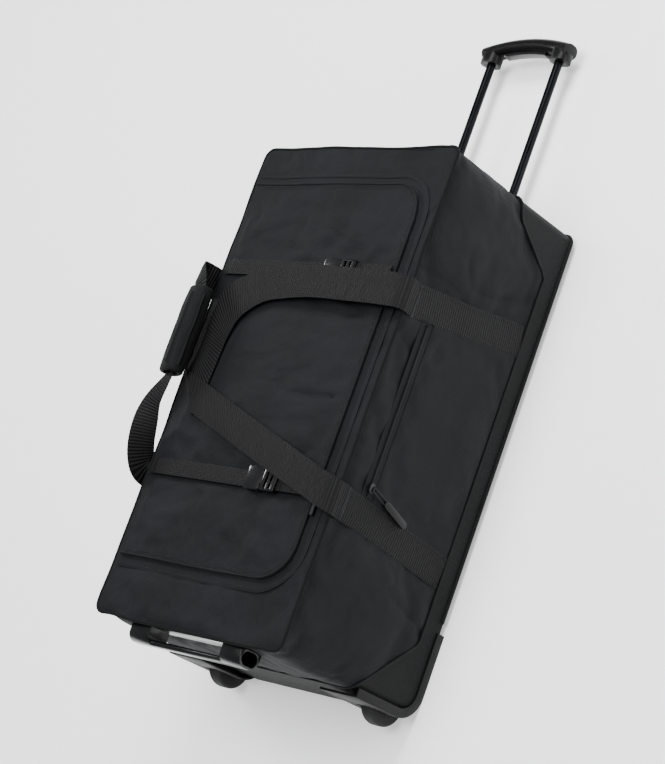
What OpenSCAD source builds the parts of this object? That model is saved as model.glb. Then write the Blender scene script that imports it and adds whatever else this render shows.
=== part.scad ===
// Rolling duffel bag with a U-shaped flap, two webbing haul loops, a telescoping handle and two wheels.
// The bag lies on its back: +X is its right side, +Y its handle end and +Z its front flap.
// The origin is on the floor, on the middle of the centre skid rail. All sizes are in millimetres.

/* [Body] */
// Width across the bag
body_w = 400; // [330:5:500]
// Length from the wheel end to the handle end
body_l = 760; // [630:5:920]
// Depth from the back fabric to the front face
body_d = 290; // [240:5:350]
// Thickness of the sewn and lined fabric wall
wall_t = 3; // [2:0.5:4]
// Corner radius of the body seen from the front
corner_r = 14; // [12:1:20]
// Diameter of the piping cord in the seams
piping_d = 4; // [3:0.5:5]
// Height of the back seam above the back fabric on the long sides
back_seam_h = 36; // [30:1:46]
// Height of the back seam above the back fabric at both ends
end_seam_h = 134; // [110:2:150]

/* [Flap] */
// Fabric left between the flap and the hinge side
flap_gap_left = 11.5; // [10:0.5:20]
// Fabric left between the flap and the side with the haul loop
flap_gap_right = 30; // [24:1:40]
// Fabric left between the flap and the handle end
flap_gap_top = 60; // [40:2:80]
// Fabric left between the flap and the wheel end
flap_gap_bottom = 90; // [60:2:100]
// Corner radius of the flap
flap_r = 58; // [40:1:70]
// Thickness of the flap at its edge
flap_t = 4; // [3:0.5:6]
// Height of the padded middle of the flap above its edge
flap_pad_h = 3; // [2:0.5:5]
// Width of each zip tape
zip_tape_w = 12; // [10:1:16]
// Length of a zip pull tab on the flap
flap_pull_l = 22; // [16:1:30]

/* [Straps] */
// Width of the haul webbing
haul_w = 50; // [40:1:60]
// Thickness of the haul webbing
haul_t = 2.2; // [1.8:0.1:2.6]
// Place of the upper haul webbing from the middle of the bag
haul_upper_y = 150; // [130:2:170]
// Place of the lower haul webbing from the middle of the bag
haul_lower_y = 156; // [130:2:170]
// Length of the padded grip wrap
wrap_l = 140; // [110:2:150]
// Width of the padded grip wrap
wrap_w = 52; // [46:1:56]
// Thickness of the padded grip wrap
wrap_t = 32; // [26:1:34]
// Width of the compression webbing
strap_w = 25; // [20:1:30]
// Thickness of the compression webbing
strap_t = 1.6; // [1.2:0.1:2]
// Place of the upper compression strap from the middle of the bag
strap_upper_y = 176; // [170:1:190]
// Place of the lower compression strap from the middle of the bag
strap_lower_y = 150; // [140:1:180]
// Length of a buckle socket
socket_l = 32; // [28:1:38]
// Height of a buckle
buckle_h = 10; // [8:0.5:12]
// Travel of a buckle plug
plug_travel = 25; // [22:1:30]

/* [Side pocket] */
// Distance from the front face to the pocket zip
pocket_zip_drop = 59; // [50:1:70]
// Thickness of the pocket fabric
pocket_t = 1.5; // [1:0.5:3]
// Length of the pocket pull tab
pocket_tab_l = 56; // [40:1:60]
// Length of the cord loop on the pocket pull
pocket_cord_l = 34; // [24:1:40]

/* [Telescoping handle] */
// Distance between the two tubes
tube_spacing = 142; // [120:2:170]
// Height of the tubes above the back fabric
tube_h = 25; // [22:1:30]
// Outside diameter of the moving tubes
inner_tube_d = 14; // [12:0.5:16]
// Outside diameter of the fixed tubes
outer_tube_d = 18; // [17.5:0.5:20]
// Wall thickness of every tube
tube_wall = 1; // [0.8:0.1:1.2]
// Distance from the handle end to the top of the grip
handle_out = 332; // [280:2:400]
// Travel of the handle
handle_travel = 285; // [220:1:290]
// Depth of the grip across the bag's thickness
grip_d = 30; // [26:1:36]
// Radius of the grip's arch
grip_arch_r = 320; // [280:10:400]
// Thickness of the grip's arch
grip_h = 24; // [22:1:30]

/* [Wheels] */
// Diameter of a wheel
wheel_d = 70; // [60:1:74]
// Width of a wheel
wheel_w = 24; // [20:1:28]
// Distance from the middle of the bag to a wheel
wheel_x = 165; // [150:1:165]
// Diameter of the axle
axle_d = 8; // [6:1:10]
// Height of the skid rails
rail_h = 8; // [6:1:12]
// Width of a skid rail
rail_w = 24; // [16:1:40]
// Thickness of the moulded housings
housing_t = 3.5; // [2.5:0.5:5]
// Outside corner radius of a housing
housing_r = 42; // [30:1:46]

/* [Grab handle] */
// Overall width of the grab handle
grab_w = 240; // [200:5:280]
// Width of each end block
grab_block_w = 42; // [34:1:50]
// Distance that the grab handle stands out
grab_out = 28; // [24:1:34]
// Height of an end block
grab_h = 38; // [30:1:44]

/* [Hidden] */
$fn = 64;
eps = 0.01;
far = 2000;
// Clearances: a running fit on a radius, a gap between bodies, and a loose gap
run_gap = 0.05;
body_gap = 0.3;
loose_gap = 0.4;

// Main planes
x_side = body_w / 2;
y_end = body_l / 2;
z_back = rail_h;
z_front = z_back + body_d;
z_in = z_back + wall_t;
side_cut = y_end - corner_r * (1 - cos(45));
piping_r = piping_d / 2;
piping_out = piping_r + 0.1;

// Flap
flap_x0 = -x_side + flap_gap_left;
flap_x1 = x_side - flap_gap_right;
flap_y0 = -y_end + flap_gap_bottom;
flap_y1 = y_end - flap_gap_top;
tape_t = 1;
flap_z0 = z_front + tape_t + body_gap;
flap_z1 = flap_z0 + flap_t;
flap_pad_inset = 28;
flap_top = flap_z1 + flap_pad_h;
opening_inset = 9;
opening_left = 6;
zip_gap = 0.6;
slider_l = 14;
slider_w = 9;
slider_h = 3.6;
slider_z0 = z_front + tape_t + body_gap;
slider_x0 = flap_x1 + zip_gap + 0.1;
slider_upper_y = -haul_lower_y + 10;
slider_lower_y = -haul_lower_y - 10;
pull_t = 1.5;
pull_w = 6;

// Haul webbing on the long sides, drifting apart towards the back
webbing_z0 = z_back + back_seam_h + piping_r + 1.4;
webbing_z1 = z_front - 12;
upper_drift = 40;
lower_drift = 19;
loop_x = x_side + haul_t + body_gap + haul_t / 2;
half_haul = haul_w / 2;

// Compression straps and buckles
strap_z0 = flap_top + body_gap;
socket_z0 = flap_top + 0.1;
socket_x0 = 36;
socket_x1 = socket_x0 + socket_l;
socket_w = strap_w + 9;
socket_wall = 2;
plug_x1 = socket_x1 + 30;
plug_w = strap_w + 7;
tail_z0 = socket_z0 + buckle_h / 2 - strap_t - 0.5;

// Side pocket
zip_z = z_front - pocket_zip_drop;
pocket_z0 = webbing_z0;
pocket_slider_y = -haul_lower_y + haul_w / 2 + 12;
pocket_slider_end = haul_upper_y - haul_w / 2 - 14;
pocket_lean = 17;
pocket_pull_x = x_side + haul_t + 1.2;

// Telescoping handle
tube_z = z_back + tube_h;
tube_x = tube_spacing / 2;
outer_r = outer_tube_d / 2;
outer_in_r = outer_r - tube_wall;
inner_r = inner_tube_d / 2;
inner_in_r = inner_r - tube_wall;
bezel_t = 5;
bezel_w = tube_spacing + 58;
bezel_h = 34;
collar_r = outer_r + 3;
collar_l = 20;
seat_l = 6;
outer_y1 = y_end - collar_l + seat_l;
outer_y0 = -y_end + 40;
grip_top = y_end + handle_out;
grip_mid = grip_top - grip_h / 2;
arch_y = grip_mid - grip_arch_r;
grip_angle = asin((tube_x + 4) / grip_arch_r);
grip_over = 2.4;
block_sink = 3.5;
cavity_d = 18;
cavity_in = 9;
cavity_out = 8;
socket_y0 = grip_mid - 30;
arch_drop = grip_arch_r - sqrt(pow(grip_arch_r, 2) - pow(tube_x, 2));
tube_top = grip_mid - arch_drop - cavity_in - 1.5;
block_w = inner_tube_d + 22;
inner_y0 = y_end - 110;
plug_foot_l = 32;
plug_seat_l = 20;
pin_r = 2.5;
pin_y = inner_y0 - plug_foot_l + plug_seat_l + 8;
pin_l = inner_r + 1;
rod_r = 2;
trigger_half = 45;
trigger_travel = 4;
trigger_z = 7;
bar_y0 = grip_mid - 11.8;
bar_t = 4;
spring_x = 30;
spring_r = 4;
spring_wire = 0.7;
spring_turns = 5;
board_t = 3;
board_z0 = z_in + body_gap;
cover_z1 = tube_z + collar_r + 3;
cover_wall = 1.5;
cover_w = bezel_w + 10;

// Wheels and their housings
wheel_r = wheel_d / 2;
wheel_z = wheel_r + 3;
wheel_y = -y_end + 7;
well_gap = 5;
well_r = wheel_r + well_gap;
well_wall = 3;
well_half = wheel_w / 2 + 4;
axle_r = axle_d / 2;
boss_r = axle_r + 5;
housing_x0 = wheel_x - wheel_w / 2 - 25;
housing_y0 = -y_end - 10;
housing_back_l = 125;
housing_end_h = 130;
flange_t = 3;
flange_w = 14;
axle_in = wheel_x - well_half - 13;
axle_out = x_side - corner_r + sqrt(pow(corner_r - wall_t, 2) - pow(corner_r - 7, 2)) - 0.5;
bearing_r = axle_r + 7;
bearing_w = 7;
hub_r = bearing_r + 11;
rail_x = 90;
rail_y0 = -y_end + 20;
rail_y1 = y_end - 20;

// Grab handle at the wheel end
grab_z = z_front - 30;
grab_y1 = -y_end;
bar_h = 9;
bar_d = 20;

// Screws of the bezel
screw_r = 3.6;
screw_h = 1.2;
screw_in = 6;

// Colours
fabric_c = "#26272b";
trim_c = "#17181a";
plastic_c = "#1b1c1e";
metal_c = "#8d9094";
board_c = "#3a3b3e";

// Vector helpers
function unit(v) = v / norm(v);
function blend4(a, b, c, d, t) = 0.5 * (2 * b + (c - a) * t
    + (2 * a - 5 * b + 4 * c - d) * t * t + (3 * b - a - 3 * c + d) * t * t * t);
function held(list, i) = list[max(0, min(len(list) - 1, i))];
function smooth(list, steps) = [for (i = [0 : len(list) - 2], s = [0 : steps - 1])
    blend4(held(list, i - 1), held(list, i), held(list, i + 1), held(list, i + 2), s / steps),
    list[len(list) - 1]];
function heading(path, i) = unit(held(path, i + 1) - held(path, i - 1));

// A closed band swept along a path; facing[i] is the way that the band's flat side looks
module ribbon(path, facing, widths, t)
    strip([for (i = [0 : len(path) - 1])
        let (side = unit(cross(facing[i], heading(path, i))) * widths[i] / 2)
        concat(path[i] + side, path[i] - side)], t);

// A flat band between two edges. Each row holds a point of one edge and the matching point of the other
module strip(rows, t) {
    n = len(rows);
    edge_a = [for (r = rows) [r[0], r[1], r[2]]];
    edge_b = [for (r = rows) [r[3], r[4], r[5]]];
    path = (edge_a + edge_b) / 2;
    rings = [for (i = [0 : n - 1])
        let (up = unit(cross(heading(path, i), edge_a[i] - edge_b[i])) * t / 2)
        each [edge_a[i] + up, edge_b[i] + up, edge_b[i] - up, edge_a[i] - up]];
    skin = [for (i = [0 : n - 2], k = [0 : 3])
        let (a = 4 * i + k, b = 4 * i + (k + 1) % 4)
        each [[a, a + 4, b], [b, a + 4, b + 4]]];
    last = 4 * (n - 1);
    caps = [[0, 1, 2], [0, 2, 3], [last, last + 2, last + 1], [last, last + 3, last + 2]];
    polyhedron(rings, concat(skin, caps));
}

// A wire swept along a helix about Y
module helix_y(r, wire_r, length, turns) {
    sides = 6;
    per_turn = 12;
    n = turns * per_turn;
    pitch = length / turns;
    rings = [for (i = [0 : n])
        let (a = 360 * i / per_turn, out = [cos(a), 0, sin(a)])
        each [for (k = [0 : sides - 1])
            let (b = 360 * k / sides)
            out * (r + wire_r * cos(b)) + [0, i * pitch / per_turn + wire_r * sin(b), 0]]];
    skin = [for (i = [0 : n - 1], k = [0 : sides - 1])
        let (a = sides * i + k, b = sides * i + (k + 1) % sides)
        each [[a, a + sides, b], [b, a + sides, b + sides]]];
    caps = [[for (k = [0 : sides - 1]) k], [for (k = [sides - 1 : -1 : 0]) n * sides + k]];
    polyhedron(rings, concat(skin, caps));
}

// Flat shapes
module rounded_rect(w, l, r) {
    square([w - 2 * r, l], center = true);
    square([w, l - 2 * r], center = true);
    for (sx = [-1, 1], sy = [-1, 1])
        translate([sx * (w / 2 - r), sy * (l / 2 - r)])
            circle(r);
}

module stadium(l, w) {
    square([l - w, w], center = true);
    for (s = [-1, 1])
        translate([s * (l - w) / 2, 0])
            circle(w / 2);
}

// Outline of the flap, grown outwards on its three free sides
module flap_outline(grow = 0, left = 0) {
    r = flap_r + grow;
    x0 = flap_x0 + left;
    x1 = flap_x1 + grow;
    y0 = flap_y0 - grow;
    y1 = flap_y1 + grow;
    translate([x0, y0])
        square([x1 - r - x0, y1 - y0]);
    translate([x0, y0 + r])
        square([x1 - x0, y1 - y0 - 2 * r]);
    for (y = [y0 + r, y1 - r])
        translate([x1 - r, y])
            circle(r);
}

// Side view (Y, Z) of the wheel corner, drawn in from its outside by the inset
module corner_profile(inset) {
    r = housing_r - inset;
    translate([housing_y0 + inset, inset]) {
        translate([r, 0])
            square([far, far]);
        translate([0, r])
            square([far, far]);
        translate([r, r])
            circle(r);
    }
}

module corner_window()
    translate([housing_y0 - 20, -20])
        square([housing_back_l + 30, housing_end_h + 20]);

// Placing helpers
module along_x(x0, x1)
    translate([x0, 0, 0])
        rotate([90, 0, 90])
            linear_extrude(x1 - x0)
                children();

module slab(z0, z1)
    translate([0, 0, z0])
        linear_extrude(z1 - z0)
            children();

module y_rod(x, z, r, y0, y1)
    translate([x, y0, z])
        rotate([-90, 0, 0])
            cylinder(r = r, h = y1 - y0);

module x_rod(x0, x1, y, z, r)
    translate([x0, y, z])
        rotate([0, 90, 0])
            cylinder(r = r, h = x1 - x0);

module both_sides()
    for (s = [0, 1])
        mirror([s, 0, 0])
            children();

module box(low, high)
    translate(low)
        cube(high - low);

// Body shell
module gusset_ring()
    difference() {
        slab(z_in, z_front - wall_t)
            rounded_rect(body_w, body_l, corner_r);
        slab(z_in - 1, z_front)
            rounded_rect(body_w - 2 * wall_t, body_l - 2 * wall_t, corner_r - wall_t);
    }

// Everything in front of the back seam, which climbs to both ends
module front_of_seam() {
    low = z_back + back_seam_h;
    high = z_back + end_seam_h;
    run = end_seam_h - back_seam_h;
    along_x(-x_side - 5, x_side + 5)
        polygon([[-y_end - 1, high], [-y_end + run, low], [y_end - run + 14, low], [y_end - 30, high - 12],
            [y_end + 1, high], [y_end + 1, z_front + 1], [-y_end - 1, z_front + 1]]);
}

module middle_length()
    box([-far, -side_cut, -far], [far, side_cut, far]);

// Room for both wheel housings in the fabric and in the board
module housing_room() {
    both_sides() {
        along_x(housing_x0 - body_gap, x_side + 20)
            difference() {
                corner_window();
                corner_profile(housing_t + body_gap);
            }
        along_x(wheel_x - well_half - well_wall - body_gap, wheel_x + well_half + well_wall + body_gap)
            translate([wheel_y, wheel_z])
                circle(well_r + well_wall + body_gap);
        x_rod(axle_in - 3, axle_out + 0.1, wheel_y, wheel_z, boss_r + body_gap);
    }
}

module back_tray_panel()
    color(trim_c)
        difference() {
            union() {
                difference() {
                    gusset_ring();
                    front_of_seam();
                }
                slab(z_back, z_in)
                    rounded_rect(body_w, body_l, corner_r);
            }
            housing_room();
            tube_exits();
        }

module tube_exits()
    for (s = [-1, 1])
        y_rod(s * tube_x, tube_z, collar_r, y_end - wall_t - 1, y_end + 1);

module side_panel(s)
    color(fabric_c)
        intersection() {
            gusset_ring();
            front_of_seam();
            middle_length();
            translate([s > 0 ? 0 : -far, -far / 2, -far / 2])
                cube([far, far, far]);
        }

module end_panel(s)
    color(fabric_c)
        intersection() {
            gusset_ring();
            front_of_seam();
            translate([-far / 2, s > 0 ? side_cut : -side_cut - far, -far / 2])
                cube([far, far, far]);
        }

module side_panel_right()
    side_panel(1);

module side_panel_left()
    side_panel(-1);

module top_end_panel()
    end_panel(1);

module bottom_end_panel()
    end_panel(-1);

module front_border_panel()
    color(fabric_c)
        slab(z_front - wall_t, z_front)
            difference() {
                rounded_rect(body_w, body_l, corner_r);
                flap_outline(-opening_inset, opening_left);
            }

// Piping ring that stands just outside the front seam
module front_piping() {
    r = corner_r + piping_out;
    w = x_side - corner_r;
    l = y_end - corner_r;
    z = z_front - piping_r - 1;
    color(trim_c)
        for (s = [-1, 1]) {
            y_rod(s * (x_side + piping_out), z, piping_r, -l, l);
            x_rod(-w, w, s * (y_end + piping_out), z, piping_r);
            for (q = [-1, 1])
                translate([s * w, q * l, z])
                    rotate([0, 0, s > 0 ? (q > 0 ? 0 : 270) : (q > 0 ? 90 : 180)])
                        rotate_extrude(angle = 90)
                            translate([r, 0])
                                circle(piping_r, $fn = 24);
        }
}

// Piping along the back seam of each long side, between the two slanting corner seams
module seam_piping() {
    run = end_seam_h - back_seam_h;
    color(trim_c)
        both_sides()
            y_rod(x_side + piping_out, z_back + back_seam_h, piping_r, -y_end + run, y_end - run + 14);
}

module flap_zip_outer_tape()
    color(trim_c)
        slab(z_front, z_front + tape_t)
            difference() {
                flap_outline(zip_tape_w);
                flap_outline(zip_gap);
            }

// Half width of the pocket at a height, up to the inner edge of each haul webbing
function drift(z, total) = total * (webbing_z1 - z) / (webbing_z1 - webbing_z0);
function pocket_top(z) = haul_upper_y + drift(z, upper_drift) - haul_w / 2;
function pocket_bottom(z) = -haul_lower_y - drift(z, lower_drift) + haul_w / 2;

module side_pocket_panel() {
    z1 = zip_z - zip_tape_w;
    color(fabric_c)
        along_x(x_side, x_side + pocket_t)
            polygon([[pocket_bottom(pocket_z0), pocket_z0], [pocket_top(pocket_z0), pocket_z0],
                [pocket_top(z1), z1], [pocket_bottom(z1), z1]]);
}

// Two tapes with the closed coil standing between them
module pocket_zip_tapes() {
    coil_r = 1;
    y0 = pocket_bottom(zip_z + zip_tape_w) + 0.3;
    y1 = pocket_top(zip_z + zip_tape_w) - 0.3;
    color(trim_c) {
        for (s = [-1, 1])
            along_x(x_side, x_side + tape_t)
                translate([y0, zip_z + (s < 0 ? -zip_tape_w : 0)])
                    square([y1 - y0, zip_tape_w]);
        y_rod(x_side + tape_t + coil_r, zip_z, coil_r, y0 + 2, y1 - 2);
    }
}

module sewn_band(y, total)
    along_x(x_side, x_side + haul_t)
        polygon([[y + total - haul_w / 2, webbing_z0], [y + total + haul_w / 2, webbing_z0],
            [y + haul_w / 2, webbing_z1], [y - haul_w / 2, webbing_z1]]);

module sewn_webbing()
    color(trim_c) {
        sewn_band(haul_upper_y, upper_drift);
        sewn_band(-haul_lower_y, -lower_drift);
    }

module sewn_webbing_right()
    sewn_webbing();

module sewn_webbing_left()
    mirror([1, 0, 0])
        sewn_webbing();

// Stiffening board and handle gear inside the back
module back_board()
    color(board_c)
        difference() {
            slab(board_z0, board_z0 + board_t)
                rounded_rect(body_w - 2 * wall_t - 20, body_l - 2 * wall_t - 20, corner_r);
            housing_room();
            both_sides()
                box([axle_in - 4, -far, -far], [far, wheel_y + well_r + well_wall + 1, far]);
        }

module tube_cover() {
    y0 = outer_y0 - 12;
    y1 = y_end - collar_l - 2;
    z0 = board_z0 + board_t;
    color(board_c)
        difference() {
            box([-cover_w / 2, y0, z0], [cover_w / 2, y1, cover_z1]);
            box([-cover_w / 2 + cover_wall, y0 - 1, z0 - 1],
                [cover_w / 2 - cover_wall, y1 + 1, cover_z1 - cover_wall]);
        }
}

module outer_tubes()
    color(metal_c)
        for (s = [-1, 1])
            difference() {
                y_rod(s * tube_x, tube_z, outer_r, outer_y0, outer_y1);
                y_rod(s * tube_x, tube_z, outer_in_r, outer_y0 - 1, outer_y1 + 1);
                for (y = [pin_y, pin_y - handle_travel])
                    translate([s * tube_x, y, tube_z - outer_r - 1])
                        cylinder(r = pin_r + loose_gap, h = outer_r);
            }

module tube_foot_bracket() {
    foot_l = 24;
    foot_in = 12;
    color(plastic_c)
        difference() {
            translate([0, outer_y0 - foot_in, 0])
                box([-tube_x - outer_r - 8, 0, board_z0 + board_t],
                    [tube_x + outer_r + 8, foot_l, tube_z + outer_r + 2]);
            for (s = [-1, 1])
                y_rod(s * tube_x, tube_z, outer_r, outer_y0, outer_y0 + foot_l);
        }
}

// Plate at the handle end with a collar that holds each fixed tube and guides each moving tube
module top_bezel()
    color(plastic_c)
        difference() {
            union() {
                translate([0, y_end + bezel_t, tube_z])
                    rotate([90, 0, 0])
                        linear_extrude(bezel_t)
                            rounded_rect(bezel_w, bezel_h, 10);
                for (s = [-1, 1])
                    y_rod(s * tube_x, tube_z, collar_r, y_end - collar_l, y_end + 1);
            }
            for (s = [-1, 1]) {
                y_rod(s * tube_x, tube_z, inner_r + run_gap, y_end - collar_l - 1, y_end + bezel_t + 1);
                y_rod(s * tube_x, tube_z, outer_r, y_end - collar_l - 1, outer_y1);
            }
        }

module skid_rail(x)
    color(plastic_c)
        slab(0, rail_h)
            translate([x, (rail_y0 + rail_y1) / 2])
                rotate(90)
                    stadium(rail_y1 - rail_y0, rail_w);

module skid_rail_left()
    skid_rail(-rail_x);

module skid_rail_centre()
    skid_rail(0);

module skid_rail_right()
    skid_rail(rail_x);

// Moulded wheel corner: a curved skin, a side flange, a wheel well and two axle bosses
module wheel_housing()
    color(plastic_c)
        difference() {
            union() {
                along_x(housing_x0, x_side)
                    intersection() {
                        difference() {
                            corner_profile(0);
                            corner_profile(housing_t);
                        }
                        corner_window();
                    }
                along_x(x_side, x_side + flange_t)
                    intersection() {
                        difference() {
                            corner_profile(0);
                            corner_profile(flange_w);
                        }
                        corner_window();
                    }
                along_x(wheel_x - well_half - well_wall, wheel_x + well_half + well_wall)
                    intersection() {
                        corner_profile(0);
                        translate([wheel_y, wheel_z])
                            circle(well_r + well_wall);
                    }
                x_rod(axle_in - 2, wheel_x - well_half - 1, wheel_y, wheel_z, boss_r);
                x_rod(wheel_x + well_half + 1, axle_out, wheel_y, wheel_z, boss_r);
            }
            x_rod(wheel_x - well_half, wheel_x + well_half, wheel_y, wheel_z, well_r);
            x_rod(axle_in, axle_out - 1, wheel_y, wheel_z, axle_r);
        }

module wheel_housing_right()
    wheel_housing();

module wheel_housing_left()
    mirror([1, 0, 0])
        wheel_housing();

module wheel_axles()
    color(metal_c)
        both_sides()
            x_rod(axle_in, axle_out - 1, wheel_y, wheel_z, axle_r);

module wheel_bearings()
    color(metal_c)
        both_sides()
            for (s = [-1, 1])
                translate([wheel_x + s * (wheel_w - bearing_w) / 2, wheel_y, wheel_z])
                    rotate([0, 90, 0])
                        difference() {
                            cylinder(r = bearing_r, h = bearing_w, center = true);
                            cylinder(r = axle_r, h = bearing_w + 1, center = true);
                        }

// Half outline of a wheel part, turned about the axle
module turned(s)
    translate([s * wheel_x, wheel_y, wheel_z])
        rotate([0, 90, 0])
            rotate_extrude()
                children();

module tyre(s) {
    shoulder = 5;
    color(trim_c)
        turned(s) {
            translate([hub_r, -wheel_w / 2])
                square([wheel_r - hub_r - shoulder, wheel_w]);
            translate([hub_r, -wheel_w / 2 + shoulder])
                square([wheel_r - hub_r, wheel_w - 2 * shoulder]);
            for (q = [-1, 1])
                translate([wheel_r - shoulder, q * (wheel_w / 2 - shoulder)])
                    circle(shoulder, $fn = 32);
        }
}

module tyre_left()
    tyre(-1);

module tyre_right()
    tyre(1);

module wheel_hub(s)
    color(board_c)
        turned(s)
            difference() {
                translate([axle_r + 1.5, -wheel_w / 2])
                    square([hub_r - axle_r - 1.5, wheel_w]);
                for (q = [-1, 1])
                    translate([0, q * (wheel_w - bearing_w) / 2])
                        square([2 * (bearing_r + run_gap), bearing_w + 2 * body_gap], center = true);
            }

module wheel_hub_left()
    wheel_hub(-1);

module wheel_hub_right()
    wheel_hub(1);

// Moulded grab handle: two hollow end blocks with an open oval mouth, and a bar between them
module bottom_grab_handle() {
    base_t = 2.5;
    mouth_wall = 4;
    mouth_deep = grab_block_w - 6;
    color(plastic_c) {
        difference() {
            union() {
                for (s = [-1, 1])
                    along_x(s > 0 ? grab_w / 2 - grab_block_w : -grab_w / 2,
                        s > 0 ? grab_w / 2 : -grab_w / 2 + grab_block_w)
                        translate([grab_y1 - grab_out / 2, grab_z]) {
                            translate([grab_out / 4, 0])
                                square([grab_out / 2, grab_h], center = true);
                            rotate(90)
                                stadium(grab_h, grab_out);
                        }
                along_x(-grab_w / 2 + grab_block_w - 1, grab_w / 2 - grab_block_w + 1)
                    translate([grab_y1 - grab_out + bar_h / 2, grab_z])
                        rotate(90)
                            stadium(bar_d, bar_h);
                box([-grab_w / 2 + grab_block_w - 1, grab_y1 - base_t, grab_z - grab_h / 2],
                    [grab_w / 2 - grab_block_w + 1, grab_y1, grab_z + grab_h / 2]);
            }
            for (s = [-1, 1])
                along_x(s > 0 ? grab_w / 2 - mouth_deep : -grab_w / 2 - 1,
                    s > 0 ? grab_w / 2 + 1 : -grab_w / 2 + mouth_deep)
                    translate([grab_y1 - grab_out / 2, grab_z])
                        rotate(90)
                            stadium(grab_h - 2 * mouth_wall, grab_out - 2 * mouth_wall);
        }
    }
}

// Low-headed screws that hold the bezel to the end panel
module bezel_screws()
    color(metal_c)
        for (sx = [-1, 1], sz = [-1, 1])
            y_rod(sx * (bezel_w / 2 - screw_in), tube_z + sz * (bezel_h / 2 - screw_in), screw_r,
                y_end + bezel_t, y_end + bezel_t + screw_h);

// Flap and what lies on it
module flap_panel()
    color(fabric_c) {
        slab(flap_z0, flap_z1)
            flap_outline();
        slab(flap_z1 - eps, flap_top)
            flap_outline(-flap_pad_inset, flap_pad_inset);
    }

// Cord round the three free sides of the flap
module flap_piping() {
    r = piping_r * 0.9;
    in = r + 1;
    z = flap_z1 + r;
    bend = flap_r - in;
    x = flap_x1 - flap_r;
    color(trim_c)
        for (s = [-1, 1]) {
            y = s > 0 ? flap_y1 - in : flap_y0 + in;
            x_rod(flap_x0 + in, x, y, z, r);
            translate([x, y - s * bend, z])
                rotate([0, 0, s > 0 ? 0 : 270])
                    rotate_extrude(angle = 90)
                        translate([bend, 0])
                            circle(r, $fn = 24);
            y_rod(flap_x1 - in, z, r, s > 0 ? 0 : flap_y0 + flap_r, s > 0 ? flap_y1 - flap_r : 0);
        }
}

module flap_zip_inner_tape()
    color(trim_c)
        slab(flap_z0 - tape_t, flap_z0)
            difference() {
                flap_outline();
                flap_outline(-zip_tape_w);
            }

module strap_anchor(y) {
    tab_l = 20;
    x0 = flap_x0 + 2;
    color(trim_c)
        translate([0, y, 0]) {
            box([x0, -strap_w / 2, strap_z0], [socket_x0, strap_w / 2, strap_z0 + strap_t]);
            box([x0, -strap_w / 2, flap_z1], [x0 + tab_l, strap_w / 2, strap_z0]);
        }
}

module upper_strap_anchor()
    strap_anchor(strap_upper_y);

module lower_strap_anchor()
    strap_anchor(-strap_lower_y);

module buckle_socket(y) {
    z1 = socket_z0 + buckle_h;
    in_w = socket_w - 2 * socket_wall - 3;
    color(plastic_c)
        translate([0, y, 0])
            difference() {
                slab(socket_z0, z1)
                    translate([(socket_x0 + socket_x1) / 2, 0])
                        rounded_rect(socket_l, socket_w, 4);
                box([socket_x0 + 5, -in_w / 2, socket_z0 + socket_wall], [socket_x1 + 1, in_w / 2, z1 - socket_wall]);
                box([socket_x0 + 10, -socket_w, socket_z0 + socket_wall],
                    [socket_x1 - 8, socket_w, z1 - socket_wall]);
            }
}

module buckle_socket_upper()
    buckle_socket(strap_upper_y);

module buckle_socket_lower()
    buckle_socket(-strap_lower_y);

// Plug with a middle guide and two prongs, and slots for its webbing
module buckle_plug(y) {
    in_w = socket_w - 2 * socket_wall - 3;
    prong_w = 5;
    z0 = socket_z0 + socket_wall + loose_gap;
    z1 = socket_z0 + buckle_h - socket_wall - loose_gap;
    x0 = socket_x1 + loose_gap;
    color(plastic_c)
        translate([0, y, 0])
            difference() {
                union() {
                    slab(socket_z0 + 0.8, socket_z0 + buckle_h - 0.8)
                        translate([(x0 + plug_x1) / 2, 0])
                            rounded_rect(plug_x1 - x0, plug_w, 3);
                    for (s = [-1, 1])
                        box([socket_x0 + 9, s > 0 ? in_w / 2 - loose_gap - prong_w : -in_w / 2 + loose_gap, z0],
                            [x0 + 1, s > 0 ? in_w / 2 - loose_gap : -in_w / 2 + loose_gap + prong_w, z1]);
                    box([socket_x0 + 7, -2.5, z0 + 0.6], [x0 + 1, 2.5, z1 - 0.6]);
                }
                for (x = [x0 + 7, x0 + 17])
                    box([x, -strap_w / 2 - 0.6, socket_z0], [x + 5, strap_w / 2 + 0.6, socket_z0 + buckle_h]);
            }
}

module buckle_plug_upper()
    buckle_plug(strap_upper_y);

module buckle_plug_lower()
    buckle_plug(-strap_lower_y);

module strap_tail(y)
    color(trim_c)
        translate([0, y, 0])
            box([plug_x1, -strap_w / 2, tail_z0], [flap_x1 - 2, strap_w / 2, tail_z0 + strap_t]);

module upper_strap_tail()
    strap_tail(strap_upper_y);

module lower_strap_tail()
    strap_tail(-strap_lower_y);

// Zip sliders of the flap with their bridges, and the tabs that swing on them
module flap_slider(y) {
    bridge = 2;
    color(metal_c)
        translate([slider_x0 + slider_w / 2, y, slider_z0]) {
            slab(0, slider_h - bridge)
                stadium_y(slider_l, slider_w);
            slab(slider_h - bridge - eps, slider_h)
                square([2, slider_l - 4], center = true);
        }
}

module stadium_y(l, w)
    rotate(90)
        stadium(l, w);

module flap_slider_upper()
    flap_slider(slider_upper_y);

module flap_slider_lower()
    flap_slider(slider_lower_y);

// A flat tab whose rounded end turns on the slider's bridge
module flap_pull(y, s) {
    x = slider_x0 + slider_w / 2;
    z = slider_z0 + slider_h + body_gap + pull_t / 2;
    color(plastic_c)
        along_x(x - pull_w / 2, x + pull_w / 2)
            translate([y + s * (flap_pull_l - pull_t) / 2, z])
                stadium(flap_pull_l, pull_t);
}

module flap_pull_upper()
    flap_pull(slider_upper_y, 1);

module flap_pull_lower()
    flap_pull(slider_lower_y, -1);

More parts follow.
